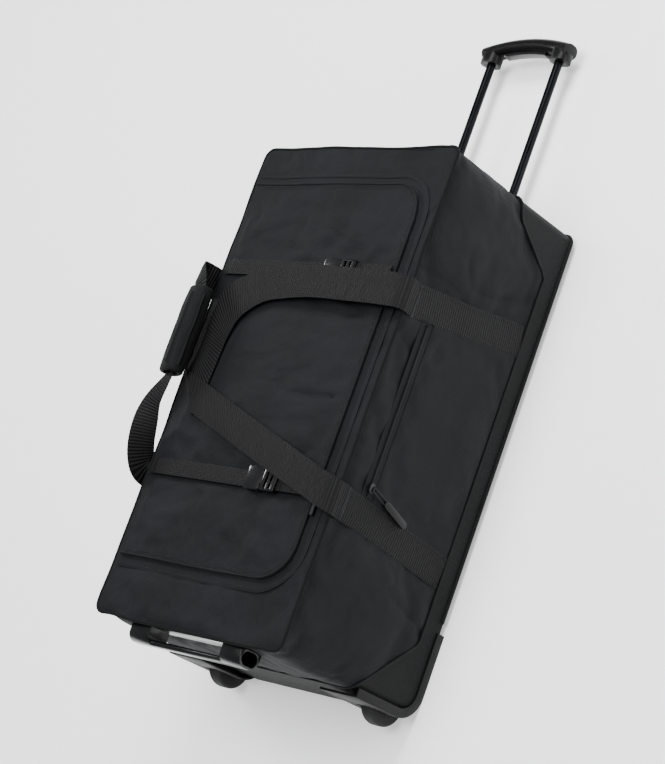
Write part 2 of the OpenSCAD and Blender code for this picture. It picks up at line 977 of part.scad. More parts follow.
// Pocket slider, and its cord loop with a moulded tab
module pocket_slider() {
    coil_room = 2 + body_gap;
    color(metal_c)
        translate([x_side + tape_t, pocket_slider_y, zip_z])
            rotate([90, 0, 90])
                difference() {
                    slab(body_gap, 5)
                        stadium(slider_l, slider_w);
                    translate([0, 0, coil_room / 2])
                        cube([far, 2.8, coil_room + eps], center = true);
                }
}

module pocket_pull() {
    cord_r = 1.1;
    cord_gap = 3;
    tab_w = 11;
    tab_t = 4;
    x = x_side + tape_t + 5 + body_gap + cord_r;
    color(plastic_c)
        translate([x, pocket_slider_y, zip_z])
            rotate([-pocket_lean, 0, 0]) {
                for (s = [-1, 1])
                    translate([0, s * cord_gap, -pocket_cord_l - 2])
                        cylinder(r = cord_r, h = pocket_cord_l, $fn = 24);
                translate([0, 0, -2])
                    rotate([90, 0, 0])
                        translate([0, 0, -cord_gap - cord_r])
                            cylinder(r = cord_r, h = 2 * (cord_gap + cord_r), $fn = 24);
                translate([-tab_t / 2, 0, -pocket_cord_l - pocket_tab_l / 2 + 2])
                    rotate([90, 0, 90])
                        slab(0, tab_t)
                            stadium_y(pocket_tab_l, tab_w);
            }
}

// Haul loops, each from its upper root over the front and back to its lower root. The right loop is given by its
// two edges, the outer one first, because it is folded over itself at the lower end of its grip
root_up_a = haul_upper_y + half_haul;
root_up_b = haul_upper_y - half_haul;
root_low_a = -haul_lower_y + half_haul;
root_low_b = -haul_lower_y - half_haul;
fold_r = 2.4;

// The fold turns about a slanting line, from 0 degrees below to 180 above
function fold_row(a) =
    let (out = fold_r * sin(a), z = z_front + 13.5 + fold_r * (1 - cos(a)))
    [-176 - 0.809 * out, 2 - 0.588 * out, z, -126 - 0.809 * out, -67 - 0.588 * out, z];

right_before = [[loop_x, root_up_a, webbing_z1 - 4, loop_x, root_up_b, webbing_z1 - 4],
    [loop_x + 1.4, root_up_a, z_front - 6, loop_x + 1.4, root_up_b, z_front - 6],
    [loop_x + 2.6, root_up_a, z_front + 1, loop_x + 2.6, root_up_b, z_front + 1],
    [loop_x - 2, root_up_a, z_front + 10, loop_x - 2, root_up_b, z_front + 10],
    [x_side - 14, root_up_a + 0.5, z_front + 16, x_side - 14, root_up_b - 0.5, z_front + 16],
    [x_side - 50, 176, z_front + 20, x_side - 50, 125, z_front + 20],
    [100, 177, z_front + 23, 100, 125.5, z_front + 23], [40, 178, z_front + 23.5, 40, 127, z_front + 23.5],
    [-15, 176, z_front + 22, -15, 124, z_front + 21], [-60, 170, z_front + 22, -58, 118, z_front + 19],
    [-100, 161, z_front + 22.5, -86, 104, z_front + 18], [-135, 147, z_front + 22.5, -104, 88, z_front + 17],
    [-156, 126, z_front + 20.5, -111, 72, z_front + 16], [-163, 96, z_front + 17.5, -115, 58, z_front + 15],
    [-166, 60, z_front + 15, -117, 40, z_front + 14.5], [-169, 30, z_front + 14, -120, -5, z_front + 14],
    [-172.5, 14, z_front + 13.7, -123.5, -40, z_front + 13.7], fold_row(0)];
right_after = [fold_row(180), [-160, -3.5, z_front + 18.8, -112, -71.5, z_front + 18.8],
    [-120, -17, z_front + 22, -85, -81, z_front + 21.5], [-60, -38.5, z_front + 24, -35, -98, z_front + 23.5],
    [0, -60, z_front + 23.5, 15, -116, z_front + 23.5], [60, -81, z_front + 23.5, 70, -135, z_front + 23.5],
    [110, -98.5, z_front + 23.5, 115, -150.5, z_front + 23.5], [x_side - 45, -114, z_front + 21, x_side - 43, -164.5,
    z_front + 21], [x_side - 14, root_low_a + 6, z_front + 16, x_side - 14, root_low_b + 6, z_front + 16],
    [loop_x - 2, root_low_a + 1.5, z_front + 10, loop_x - 2, root_low_b + 1.5, z_front + 10],
    [loop_x + 2.6, root_low_a, z_front + 1, loop_x + 2.6, root_low_b, z_front + 1],
    [loop_x + 1.4, root_low_a, z_front - 6, loop_x + 1.4, root_low_b, z_front - 6],
    [loop_x, root_low_a, webbing_z1 - 4, loop_x, root_low_b, webbing_z1 - 4]];

// The left loop stands off the left edge, with the wrap round its middle
wrap_x = -x_side + 14;
wrap_z = z_front + 36;
wrap_y = 56;
wrap_tilt = 20;
left_route = [[-loop_x, haul_upper_y, webbing_z1 - 4], [-loop_x - 2.4, haul_upper_y, z_front - 4],
    [-loop_x - 4.4, haul_upper_y + 2, z_front + 8], [-loop_x - 7, haul_upper_y + 4, z_front + 22],
    [-loop_x - 3, haul_upper_y + 2, z_front + 34], [wrap_x - 6, wrap_y + wrap_l / 2 + 12, wrap_z + 3],
    [wrap_x, wrap_y + wrap_l / 2 - 8, wrap_z], [wrap_x, wrap_y, wrap_z],
    [wrap_x, wrap_y - wrap_l / 2 + 8, wrap_z], [wrap_x - 4, wrap_y - wrap_l / 2 - 16, wrap_z + 1],
    [-loop_x - 1, -62, z_front + 34], [-loop_x - 7, -96, z_front + 27],
    [-loop_x - 8, -128, z_front + 18], [-loop_x - 4.8, -haul_lower_y + 6, z_front + 7],
    [-loop_x - 2.4, -haul_lower_y, z_front - 4], [-loop_x, -haul_lower_y, webbing_z1 - 4]];
left_facing = [[-1, 0, 0], [-1, 0, 0], [-1, 0, 0.1], [-1, 0, 0.3], [-0.8, 0.2, 0.7], [-0.4, 0.1, 1],
    [-0.36, 0, 1], [-0.36, 0, 1], [-0.36, 0, 1], [-0.2, 0, 1], [0.3, 0, 1], [0.8, -0.1, 0.6],
    [1, -0.1, 0.3], [1, 0, 0.1], [1, 0, 0], [1, 0, 0]];
// Share of the full width: the grip stretch is folded narrow inside the wrap
left_share = [1, 1, 0.96, 0.86, 0.72, 0.62, 0.6, 0.6, 0.6, 0.62, 0.66, 0.76, 0.86, 0.96, 1, 1];
loop_steps = 3;

module haul_loop_right()
    color(trim_c)
        strip(concat(smooth(right_before, loop_steps), [for (a = [30 : 30 : 150]) fold_row(a)],
            smooth(right_after, loop_steps)), haul_t);

module haul_loop_left()
    color(trim_c)
        ribbon(smooth(left_route, loop_steps), smooth(left_facing, loop_steps),
            haul_w * smooth(left_share, loop_steps), haul_t);

module grip_wrap() {
    hole_w = haul_w * 0.6 + 5;
    hole_t = haul_t + 7;
    color(trim_c)
        translate([wrap_x, wrap_y + wrap_l / 2, wrap_z])
            rotate([0, -wrap_tilt, 0])
                rotate([90, 0, 0])
                    linear_extrude(wrap_l)
                        difference() {
                            rounded_rect(wrap_w, wrap_t, wrap_t / 2 - 1);
                            square([hole_w, hole_t], center = true);
                        }
}

// Telescoping handle
module inner_tubes()
    color(metal_c)
        for (s = [-1, 1])
            difference() {
                y_rod(s * tube_x, tube_z, inner_r, inner_y0, tube_top);
                y_rod(s * tube_x, tube_z, inner_in_r, inner_y0 - 1, tube_top + 1);
            }

// Bush on the foot of each moving tube, bored across for the lock pin and along for the rod
module tube_guide_bushes() {
    y0 = inner_y0 - plug_foot_l + plug_seat_l;
    color(plastic_c)
        for (s = [-1, 1])
            difference() {
                y_rod(s * tube_x, tube_z, outer_in_r - run_gap, y0, inner_y0 + plug_seat_l);
                y_rod(s * tube_x, tube_z, inner_r, inner_y0, inner_y0 + plug_seat_l + 1);
                y_rod(s * tube_x, tube_z, rod_r + loose_gap, pin_y, inner_y0 + 1);
                translate([s * tube_x, pin_y, tube_z - outer_r])
                    cylinder(r = pin_r + run_gap, h = 2 * outer_r);
            }
}

// Part of a torus about Z at the middle of the grip's arch
module arch(r, angle)
    translate([0, arch_y, tube_z])
        rotate([0, 0, 90 - angle])
            rotate_extrude(angle = 2 * angle, $fn = 180)
                translate([r, 0])
                    children();

module arch_bar(r0, r1, depth, angle)
    arch((r0 + r1) / 2, angle)
        square([r1 - r0, depth], center = true);

module grip_section(from, to)
    intersection() {
        rotate(90)
            stadium(grip_d, grip_h);
        translate([from, -grip_d])
            square([to - from, 2 * grip_d]);
    }

module grip_upper_shell()
    color(plastic_c)
        difference() {
            arch(grip_arch_r, grip_angle + grip_over)
                grip_section(0, grip_h);
            arch_bar(grip_arch_r - 1, grip_arch_r + cavity_out, cavity_d, grip_angle);
        }

module grip_lower_shell()
    color(plastic_c)
        difference() {
            union() {
                arch(grip_arch_r, grip_angle + grip_over)
                    grip_section(-grip_h, 0);
                for (s = [-1, 1])
                    intersection() {
                        translate([s * (tube_x + 2), socket_y0, tube_z])
                            rotate([-90, 0, 0])
                                linear_extrude(grip_mid - socket_y0)
                                    stadium(block_w, grip_d);
                        below_arch();
                    }
            }
            arch_bar(grip_arch_r - cavity_in, grip_arch_r + 1, cavity_d, grip_angle);
            box([-trigger_half - 1, grip_mid - grip_h, tube_z - trigger_z - body_gap],
                [trigger_half + 1, grip_mid, tube_z + trigger_z + body_gap]);
            for (s = [-1, 1]) {
                y_rod(s * tube_x, tube_z, inner_r, socket_y0 - 1, tube_top);
                y_rod(s * tube_x, tube_z, rod_r + loose_gap, tube_top - 1, grip_mid);
            }
        }

module below_arch()
    translate([0, arch_y, tube_z - grip_d])
        cylinder(r = grip_arch_r - block_sink, h = 2 * grip_d, $fn = 180);

// Squeeze trigger under the arch, with a bar that reaches both rods
module trigger_bar()
    color(trim_c)
        union() {
            arch_bar(grip_arch_r - grip_h / 2 - 4.5, grip_arch_r - cavity_in + 2, 2 * trigger_z,
                asin(trigger_half / grip_arch_r));
            box([-tube_x - 2.5, bar_y0, tube_z - 4], [tube_x + 2.5, bar_y0 + bar_t, tube_z + 4]);
        }

module trigger_springs() {
    ceiling = arch_y + sqrt(pow(grip_arch_r + cavity_out, 2) - pow(spring_x + spring_r, 2));
    y0 = bar_y0 + bar_t + spring_wire;
    color(metal_c)
        for (s = [-1, 1])
            translate([s * spring_x, y0, tube_z])
                helix_y(spring_r - spring_wire, spring_wire, ceiling - y0 - 2 * spring_wire, spring_turns);
}

module push_rods()
    color(metal_c)
        for (s = [-1, 1])
            y_rod(s * tube_x, tube_z, rod_r, pin_y + pin_r + 1, bar_y0);

module lock_pins()
    color(metal_c)
        for (s = [-1, 1])
            translate([s * tube_x, pin_y, tube_z - outer_in_r + loose_gap])
                cylinder(r = pin_r, h = pin_l);

back_tray_panel();
side_panel_right();
side_panel_left();
top_end_panel();
bottom_end_panel();
front_border_panel();
front_piping();
seam_piping();
flap_zip_outer_tape();
side_pocket_panel();
pocket_zip_tapes();
sewn_webbing_right();
sewn_webbing_left();
back_board();
tube_cover();
outer_tubes();
tube_foot_bracket();
top_bezel();
skid_rail_left();
skid_rail_centre();
skid_rail_right();
wheel_housing_left();
wheel_housing_right();
wheel_axles();
wheel_bearings();
bottom_grab_handle();
bezel_screws();
flap_panel();
flap_piping();
flap_zip_inner_tape();
upper_strap_anchor();
lower_strap_anchor();
buckle_socket_upper();
buckle_socket_lower();
buckle_plug_upper();
buckle_plug_lower();
upper_strap_tail();
lower_strap_tail();
flap_slider_upper();
flap_slider_lower();
flap_pull_upper();
flap_pull_lower();
pocket_slider();
pocket_pull();
haul_loop_right();
haul_loop_left();
grip_wrap();
inner_tubes();
tube_guide_bushes();
grip_upper_shell();
grip_lower_shell();
trigger_bar();
trigger_springs();
push_rods();
lock_pins();
tyre_left();
tyre_right();
wheel_hub_left();
wheel_hub_right();
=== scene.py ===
import logging
import math
from dataclasses import dataclass, field
from enum import Enum
from typing import Callable, Iterable, Sequence

import bmesh
import bpy
import numpy as np
from mathutils import Matrix, Vector, noise


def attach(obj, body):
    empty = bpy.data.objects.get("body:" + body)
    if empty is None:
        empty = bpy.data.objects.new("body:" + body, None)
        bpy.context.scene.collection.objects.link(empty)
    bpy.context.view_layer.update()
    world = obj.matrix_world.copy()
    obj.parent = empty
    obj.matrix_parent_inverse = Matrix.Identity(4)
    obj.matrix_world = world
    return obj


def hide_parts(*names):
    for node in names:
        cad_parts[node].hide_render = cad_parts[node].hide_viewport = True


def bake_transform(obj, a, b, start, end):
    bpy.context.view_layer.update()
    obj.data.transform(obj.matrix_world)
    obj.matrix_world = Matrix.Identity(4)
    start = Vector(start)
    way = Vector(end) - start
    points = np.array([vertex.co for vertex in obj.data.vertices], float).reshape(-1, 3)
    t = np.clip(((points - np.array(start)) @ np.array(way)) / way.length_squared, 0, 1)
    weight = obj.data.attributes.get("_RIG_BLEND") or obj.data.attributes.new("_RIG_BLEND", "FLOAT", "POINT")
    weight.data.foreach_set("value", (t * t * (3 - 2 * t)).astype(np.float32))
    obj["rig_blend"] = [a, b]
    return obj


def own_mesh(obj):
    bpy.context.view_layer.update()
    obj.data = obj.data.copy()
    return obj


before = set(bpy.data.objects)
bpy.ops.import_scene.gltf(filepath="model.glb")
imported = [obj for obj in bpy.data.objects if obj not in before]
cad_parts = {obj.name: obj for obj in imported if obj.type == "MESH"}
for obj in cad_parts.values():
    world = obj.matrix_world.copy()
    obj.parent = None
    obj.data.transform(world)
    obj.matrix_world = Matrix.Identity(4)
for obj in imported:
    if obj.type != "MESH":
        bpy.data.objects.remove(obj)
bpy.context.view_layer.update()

LOG = logging.getLogger("duffel")
MM = 0.001
Point = tuple[float, float, float]

# Main planes of the bag, in millimetres, as the part's source has them
SIDE_X = 200.0
END_Y = 380.0
BACK_Z = 8.0
FRONT_Z = 298.0
CORNER_R = 14.0
SEAM_LOW = 44.0
SEAM_HIGH = 142.0
FLAP_X = (-188.5, 170.0)
FLAP_Y = (-290.0, 320.0)
FLAP_R = 58.0
FLAP_Z = (299.3, 303.3)
OPENING_INSET = 9.0
HAUL_W = 50.0
HAUL_T = 2.2
STRAP_W = 25.0
STRAP_UPPER_Y = 176.0
STRAP_LOWER_Y = -150.0
ZIP_Z = 239.0


class Side(Enum):
    """The two long sides of the bag."""

    LEFT = -1
    RIGHT = 1


class Axis(Enum):
    """Which way a turned or extruded piece runs."""

    X = 0
    Y = 1
    Z = 2


# ---------------------------------------------------------------- colour and nodes


def linear(hex_colour: str) -> tuple[float, float, float, float]:
    """Turn an sRGB hex colour into linear light.

    Args:
        hex_colour: six hex digits, with or without a leading #.

    Returns:
        Red, green, blue and an alpha of one.
    """
    digits = hex_colour.lstrip("#")
    parts = [int(digits[i:i + 2], 16) / 255 for i in (0, 2, 4)]
    light = [c / 12.92 if c <= 0.04045 else ((c + 0.055) / 1.055) ** 2.4 for c in parts]
    return (light[0], light[1], light[2], 1.0)


def add_node(tree: bpy.types.NodeTree, kind: str, settings: dict | None = None,
             values: dict | None = None, links: dict | None = None) -> bpy.types.Node:
    """Add one node with its settings, its socket values and its links.

    Args:
        tree: the node tree that gets the node.
        kind: the node's type name.
        settings: attribute names and their values.
        values: input names or numbers, and the constants set on them.
        links: input names or numbers, and the output sockets linked to them.

    Returns:
        The new node.
    """
    node = tree.nodes.new(kind)
    for name, value in (settings or {}).items():
        setattr(node, name, value)
    for name, value in (values or {}).items():
        node.inputs[name].default_value = value
    for name, source in (links or {}).items():
        tree.links.new(source, node.inputs[name])
    return node


def ramp_between(tree: bpy.types.NodeTree, source: bpy.types.NodeSocket, stops: Sequence[tuple[float, str]]
                 ) -> bpy.types.NodeSocket:
    """Colour a value through a ramp and give the ramp's colour socket."""
    ramp = add_node(tree, "ShaderNodeValToRGB", links={"Fac": source})
    band = ramp.color_ramp.elements
    while len(band) < len(stops):
        band.new(0.5)
    for element, (place, hex_colour) in zip(band, stops):
        element.position = place
        element.color = linear(hex_colour)
    return ramp.outputs["Color"]


@dataclass(frozen=True)
class Finish:
    """What every finish has: a name, a colour range, a roughness range and how deep its relief is."""

    name: str
    dark: str
    light: str
    rough: tuple[float, float] = (0.55, 0.8)
    relief: float = 0.0004

    def start(self) -> tuple[bpy.types.Material, bpy.types.NodeTree, bpy.types.Node]:
        """Make the material with its shader, and clear the rest."""
        material = bpy.data.materials.new(self.name)
        material.use_nodes = True
        tree = material.node_tree
        tree.nodes.clear()
        shader = add_node(tree, "ShaderNodeBsdfPrincipled")
        add_node(tree, "ShaderNodeOutputMaterial", links={"Surface": shader.outputs["BSDF"]})
        material.diffuse_color = linear(self.light)
        return material, tree, shader

    def spread(self, tree: bpy.types.NodeTree, source: bpy.types.NodeSocket) -> bpy.types.NodeSocket:
        """Map a 0 to 1 pattern onto the roughness range."""
        node = add_node(tree, "ShaderNodeMapRange", values={"To Min": self.rough[0], "To Max": self.rough[1]},
                        links={"Value": source})
        return node.outputs["Result"]

    def bump(self, tree: bpy.types.NodeTree, shader: bpy.types.Node, height: bpy.types.NodeSocket,
             distance: float, strength: float = 1.0, under: bpy.types.NodeSocket | None = None
             ) -> bpy.types.NodeSocket:
        """Raise the surface by a height pattern, over another bump if there is one."""
        links = {"Height": height}
        if under is not None:
            links["Normal"] = under
        node = add_node(tree, "ShaderNodeBump", values={"Strength": strength, "Distance": distance}, links=links)
        tree.links.new(node.outputs["Normal"], shader.inputs["Normal"])
        return node.outputs["Normal"]


@dataclass(frozen=True)
class WovenCloth(Finish):
    """Plain-woven synthetic cloth: threads that cross at right angles, slubs, and rubbed lighter patches.

    The thread spacing is drawn coarser than the real 0.6 mm so that the weave shows at this size.
    """

    thread_mm: float = 1.9
    sheen: float = 0.25

    def material(self) -> bpy.types.Material:
        """Build the cloth's material."""
        material, tree, shader = self.start()
        place = add_node(tree, "ShaderNodeTexCoord").outputs["Object"]
        per_metre = math.pi / (self.thread_mm * MM)
        wobble = add_node(tree, "ShaderNodeTexNoise", values={"Scale": 60.0, "Detail": 2.0}, links={"Vector": place})
        bent = add_node(tree, "ShaderNodeVectorMath", {"operation": "MULTIPLY_ADD"},
                        values={1: (0.0009, 0.0009, 0.0009)}, links={0: wobble.outputs["Color"], 2: place})
        scaled = add_node(tree, "ShaderNodeVectorMath", {"operation": "SCALE"}, values={"Scale": per_metre},
                          links={0: bent.outputs[0]})
        waves = add_node(tree, "ShaderNodeVectorMath", {"operation": "SINE"}, links={0: scaled.outputs[0]})
        squares = add_node(tree, "ShaderNodeVectorMath", {"operation": "MULTIPLY"},
                           links={0: waves.outputs[0], 1: waves.outputs[0]})
        weave = add_node(tree, "ShaderNodeVectorMath", {"operation": "DOT_PRODUCT"},
                         values={1: (0.4, 0.4, 0.4)}, links={0: squares.outputs[0]})
        slub = add_node(tree, "ShaderNodeTexNoise", values={"Scale": 420.0, "Detail": 4.0, "Roughness": 0.7},
                        links={"Vector": place})
        rubbed = add_node(tree, "ShaderNodeTexNoise", values={"Scale": 9.0, "Detail": 5.0, "Roughness": 0.6},
                          links={"Vector": place})
        mixed = add_node(tree, "ShaderNodeMath", {"operation": "MULTIPLY_ADD"}, values={1: 0.45},
                         links={0: slub.outputs["Fac"], 2: rubbed.outputs["Fac"]})
        toned = add_node(tree, "ShaderNodeMath", {"operation": "MULTIPLY_ADD"}, values={1: 0.22},
                         links={0: weave.outputs["Value"], 2: mixed.outputs[0]})
        colour = ramp_between(tree, toned.outputs[0], [(0.45, self.dark), (1.15, self.light)])
        tree.links.new(colour, shader.inputs["Base Color"])
        tree.links.new(self.spread(tree, slub.outputs["Fac"]), shader.inputs["Roughness"])
        shader.inputs["Sheen Weight"].default_value = self.sheen
        shader.inputs["Sheen Roughness"].default_value = 0.45
        shader.inputs["Specular IOR Level"].default_value = 0.12
        first = self.bump(tree, shader, weave.outputs["Value"], self.relief, 0.55)
        self.bump(tree, shader, slub.outputs["Fac"], self.relief * 0.8, 0.5, first)
        return material


@dataclass(frozen=True)
class RibbedWebbing(Finish):
    """Heavy woven nylon webbing: close ribs across the band, and rows of warp threads along it.

    Reads the band's own UV map, in metres: U across and V along. The ribs are drawn 4.6 mm apart, about
    three times the real spacing, so that they show.
    """

    rib_mm: float = 4.6
    row_mm: float = 2.6

    def material(self) -> bpy.types.Material:
        """Build the webbing's material."""
        material, tree, shader = self.start()
        across_along = add_node(tree, "ShaderNodeUVMap", {"uv_map": "band"}).outputs["UV"]
        place = add_node(tree, "ShaderNodeTexCoord").outputs["Object"]
        scaled = add_node(tree, "ShaderNodeVectorMath", {"operation": "MULTIPLY"},
                          values={1: (math.pi / (self.row_mm * MM), math.pi / (self.rib_mm * MM), 0.0)},
                          links={0: across_along})
        waves = add_node(tree, "ShaderNodeVectorMath", {"operation": "SINE"}, links={0: scaled.outputs[0]})
        squares = add_node(tree, "ShaderNodeVectorMath", {"operation": "MULTIPLY"},
                           links={0: waves.outputs[0], 1: waves.outputs[0]})
        ribs = add_node(tree, "ShaderNodeVectorMath", {"operation": "DOT_PRODUCT"}, values={1: (0.2, 0.8, 0.0)},
                        links={0: squares.outputs[0]})
        fuzz = add_node(tree, "ShaderNodeTexNoise", values={"Scale": 300.0, "Detail": 3.0}, links={"Vector": place})
        toned = add_node(tree, "ShaderNodeMath", {"operation": "MULTIPLY_ADD"}, values={1: 0.6},
                         links={0: ribs.outputs["Value"], 2: fuzz.outputs["Fac"]})
        colour = ramp_between(tree, toned.outputs[0], [(0.35, self.dark), (1.0, self.light)])
        tree.links.new(colour, shader.inputs["Base Color"])
        tree.links.new(self.spread(tree, fuzz.outputs["Fac"]), shader.inputs["Roughness"])
        shader.inputs["Specular IOR Level"].default_value = 0.15
        first = self.bump(tree, shader, ribs.outputs["Value"], self.relief, 0.9)
        self.bump(tree, shader, fuzz.outputs["Fac"], self.relief * 0.5, 0.5, first)
        return material


@dataclass(frozen=True)
class Moulded(Finish):
    """Injection-moulded plastic or cast rubber: a fine spark-eroded grain and faint handling marks."""

    grain_mm: float = 1.2
    coat: float = 0.0
    gloss: float = 0.36

    def material(self) -> bpy.types.Material:
        """Build the moulding's material."""
        material, tree, shader = self.start()
        place = add_node(tree, "ShaderNodeTexCoord").outputs["Object"]
        grain = add_node(tree, "ShaderNodeTexVoronoi", values={"Scale": 1 / (self.grain_mm * MM)},
                         links={"Vector": place})
        marks = add_node(tree, "ShaderNodeTexNoise", values={"Scale": 35.0, "Detail": 6.0, "Roughness": 0.65},
                         links={"Vector": place})
        tree.links.new(ramp_between(tree, marks.outputs["Fac"], [(0.3, self.dark), (0.75, self.light)]),
                       shader.inputs["Base Color"])
        tree.links.new(self.spread(tree, marks.outputs["Fac"]), shader.inputs["Roughness"])
        shader.inputs["IOR"].default_value = 1.46
        shader.inputs["Specular IOR Level"].default_value = self.gloss
        shader.inputs["Coat Weight"].default_value = self.coat
        self.bump(tree, shader, grain.outputs["Distance"], self.relief, 0.35)
        return material


@dataclass(frozen=True)
class DrawnMetal(Finish):
    """Drawn or machined metal: long fine scratches along one axis, and a soft variation of gloss."""

    along: Axis = Axis.Y
    metallic: float = 1.0

    def material(self) -> bpy.types.Material:
        """Build the metal's material."""
        material, tree, shader = self.start()
        place = add_node(tree, "ShaderNodeTexCoord").outputs["Object"]
        stretch = [1.0, 1.0, 1.0]
        stretch[self.along.value] = 0.02
        laid = add_node(tree, "ShaderNodeMapping", values={"Scale": stretch}, links={"Vector": place})
        lines = add_node(tree, "ShaderNodeTexNoise", values={"Scale": 1400.0, "Detail": 3.0},
                         links={"Vector": laid.outputs["Vector"]})
        tree.links.new(ramp_between(tree, lines.outputs["Fac"], [(0.3, self.dark), (0.7, self.light)]),
                       shader.inputs["Base Color"])
        tree.links.new(self.spread(tree, lines.outputs["Fac"]), shader.inputs["Roughness"])
        shader.inputs["Metallic"].default_value = self.metallic
        self.bump(tree, shader, lines.outputs["Fac"], self.relief, 0.3)
        return material


class Wardrobe:
    """All the finishes of the bag, each built once."""

    finishes = (
        # Coated woven polyester: flat black-grey with a dry sheen, paler where it is rubbed
        WovenCloth("coated_woven_polyester", "#040506", "#101114", (0.58, 0.8), 0.0006, sheen=0.012),
        # Ballistic nylon of the back tray: coarser, blacker and a little glossier
        WovenCloth("ballistic_nylon", "#050505", "#0e0f10", (0.5, 0.75), 0.0008, thread_mm=2.8, sheen=0.01),
        # Plain lining cloth: thin and smooth
        WovenCloth("nylon_lining", "#0a0a0b", "#161719", (0.5, 0.7), 0.0002, thread_mm=1.2, sheen=0.02),
        # Woven zip tape: fine and dull
        WovenCloth("zip_tape_cloth", "#030304", "#090a0a", (0.7, 0.9), 0.0003, thread_mm=1.4, sheen=0.005),
        # Nylon webbing: its ribs catch a little light
        RibbedWebbing("nylon_webbing", "#010101", "#0b0b0d", (0.52, 0.74), 0.0011),
        # Neoprene-backed wrap cloth: soft and matt
        WovenCloth("padded_wrap_cloth", "#050506", "#0f1011", (0.68, 0.9), 0.0007, thread_mm=2.2, sheen=0.015),
        # Bonded polyester thread: slightly waxy
        Moulded("bonded_thread", "#0c0c0d", "#18191b", (0.4, 0.6), 0.0001, grain_mm=0.8),
        # Thread of the bar tacks: greyer, a painted highlight for where it lies close and catches the light
        Moulded("bar_tack_thread", "#2c2d2f", "#454649", (0.4, 0.6), 0.0001, grain_mm=0.8),
        # Moulded polypropylene: dull with a fine spark grain
        Moulded("moulded_polypropylene", "#040404", "#0b0c0c", (0.42, 0.62), 0.0003, gloss=0.22),
        # Glossy nylon of the grab handle: smooth, with broad clear highlights
        Moulded("glossy_nylon", "#070708", "#0f1011", (0.18, 0.32), 0.0001, grain_mm=2.0, coat=0.08),
        # Acetal buckles: dense and polished
        Moulded("polished_acetal", "#060607", "#0e0e10", (0.14, 0.26), 0.00006, grain_mm=2.0, coat=0.4),
        # Soft-touch grip: satin
        Moulded("satin_grip_plastic", "#030304", "#09090a", (0.3, 0.44), 0.00015, gloss=0.2),
        # Polyurethane tread: dull, dusty on the ridges
        Moulded("polyurethane_tread", "#060606", "#141415", (0.55, 0.8), 0.0004, grain_mm=1.8),
        # Corrugated board behind the lining
        Moulded("polypropylene_board", "#151618", "#222326", (0.5, 0.7), 0.0004, grain_mm=3.0),
        # Black anodised aluminium tube: smooth, with a dark metallic streak of light
        DrawnMetal("black_anodised_aluminium", "#101113", "#1d1e20", (0.22, 0.34), 0.00003),
        # Black lacquered zinc of the zip sliders
        DrawnMetal("lacquered_zinc", "#151618", "#26272a", (0.25, 0.4), 0.00003, metallic=0.6),
        # Plain steel of axles, rods and pins
        DrawnMetal("plain_steel", "#85878b", "#b5b7ba", (0.22, 0.38), 0.00004, along=Axis.X),
    )

    def __init__(self) -> None:
        """Build every material."""
        self._materials = {finish.name: finish.material() for finish in self.finishes}

    def __getitem__(self, name: str) -> bpy.types.Material:
        """The material of that name."""
        return self._materials[name]


# ---------------------------------------------------------------- meshes


def link(mesh: bpy.types.Mesh, name: str) -> bpy.types.Object:
    """Put a mesh in the scene as an object at the origin."""
    thing = bpy.data.objects.new(name, mesh)
    bpy.context.scene.collection.objects.link(thing)
    return thing


def from_arrays(name: str, points: np.ndarray, faces: Iterable[Sequence[int]]) -> bpy.types.Object:
    """Make an object from points in millimetres and faces."""
    mesh = bpy.data.meshes.new(name)
    mesh.from_pydata((np.asarray(points) * MM).tolist(), [], [list(f) for f in faces])
    mesh.update()
    return link(mesh, name)


def coordinates(thing: bpy.types.Object) -> np.ndarray:
    """The object's vertex places in millimetres."""
    flat = np.empty(len(thing.data.vertices) * 3)
    thing.data.vertices.foreach_get("co", flat)
    return flat.reshape(-1, 3) / MM


def set_coordinates(thing: bpy.types.Object, points: np.ndarray) -> None:
    """Write vertex places in millimetres."""
    thing.data.vertices.foreach_set("co", (np.asarray(points) * MM).ravel())
    thing.data.update()


def vertex_normals(thing: bpy.types.Object) -> np.ndarray:
    """The object's vertex normals."""
    flat = np.empty(len(thing.data.vertices) * 3)
    thing.data.vertices.foreach_get("normal", flat)
    return flat.reshape(-1, 3)


def smooth_shade(thing: bpy.types.Object, angle: float = 40.0) -> None:
    """Shade smooth, with edges sharper than the angle kept sharp."""
    mesh = thing.data
    mesh.shade_smooth()
    mesh.set_sharp_from_angle(angle=math.radians(angle))


def apply_modifiers(thing: bpy.types.Object) -> None:
    """Bake every modifier into the mesh and take it off."""
    graph = bpy.context.evaluated_depsgraph_get()
    baked = bpy.data.meshes.new_from_object(thing.evaluated_get(graph), preserve_all_data_layers=True,
                                            depsgraph=graph)
    thing.modifiers.clear()
    thing.data = baked


def finish_piece(thing: bpy.types.Object, material: bpy.types.Material, body: str,
                 nodes: Sequence[str] = ()) -> bpy.types.Object:
    """Dress a piece, tie it to its body, and hide the CAD nodes that it stands for.

    Args:
        thing: the piece.
        material: its finish.
        body: the body that it rides on.
        nodes: the CAD nodes that it replaces.

    Returns:
        The piece.
    """
    if not len(thing.data.materials):
        thing.data.materials.append(material)
    if "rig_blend" not in thing:
        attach(thing, body)
    if nodes:
        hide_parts(*nodes)
    LOG.info("%s: %d faces on %s", thing.name, len(thing.data.polygons), body)
    return thing


def grid_faces(rows: int, columns: int, wrap: bool = False) -> list[tuple[int, int, int, int]]:
    """Quads of a grid whose points run column by column within each row."""
    last = columns if wrap else columns - 1
    return [(r * columns + c, r * columns + (c + 1) % columns, (r + 1) * columns + (c + 1) % columns,
             (r + 1) * columns + c) for r in range(rows - 1) for c in range(last)]


def thicken(thing: bpy.types.Object, thickness: float, inward: bool = True) -> None:
    """Give an open sheet a thickness in millimetres."""
    solid = thing.modifiers.new("thickness", "SOLIDIFY")
    solid.thickness = thickness * MM
    solid.offset = -1.0 if inward else 1.0
    apply_modifiers(thing)


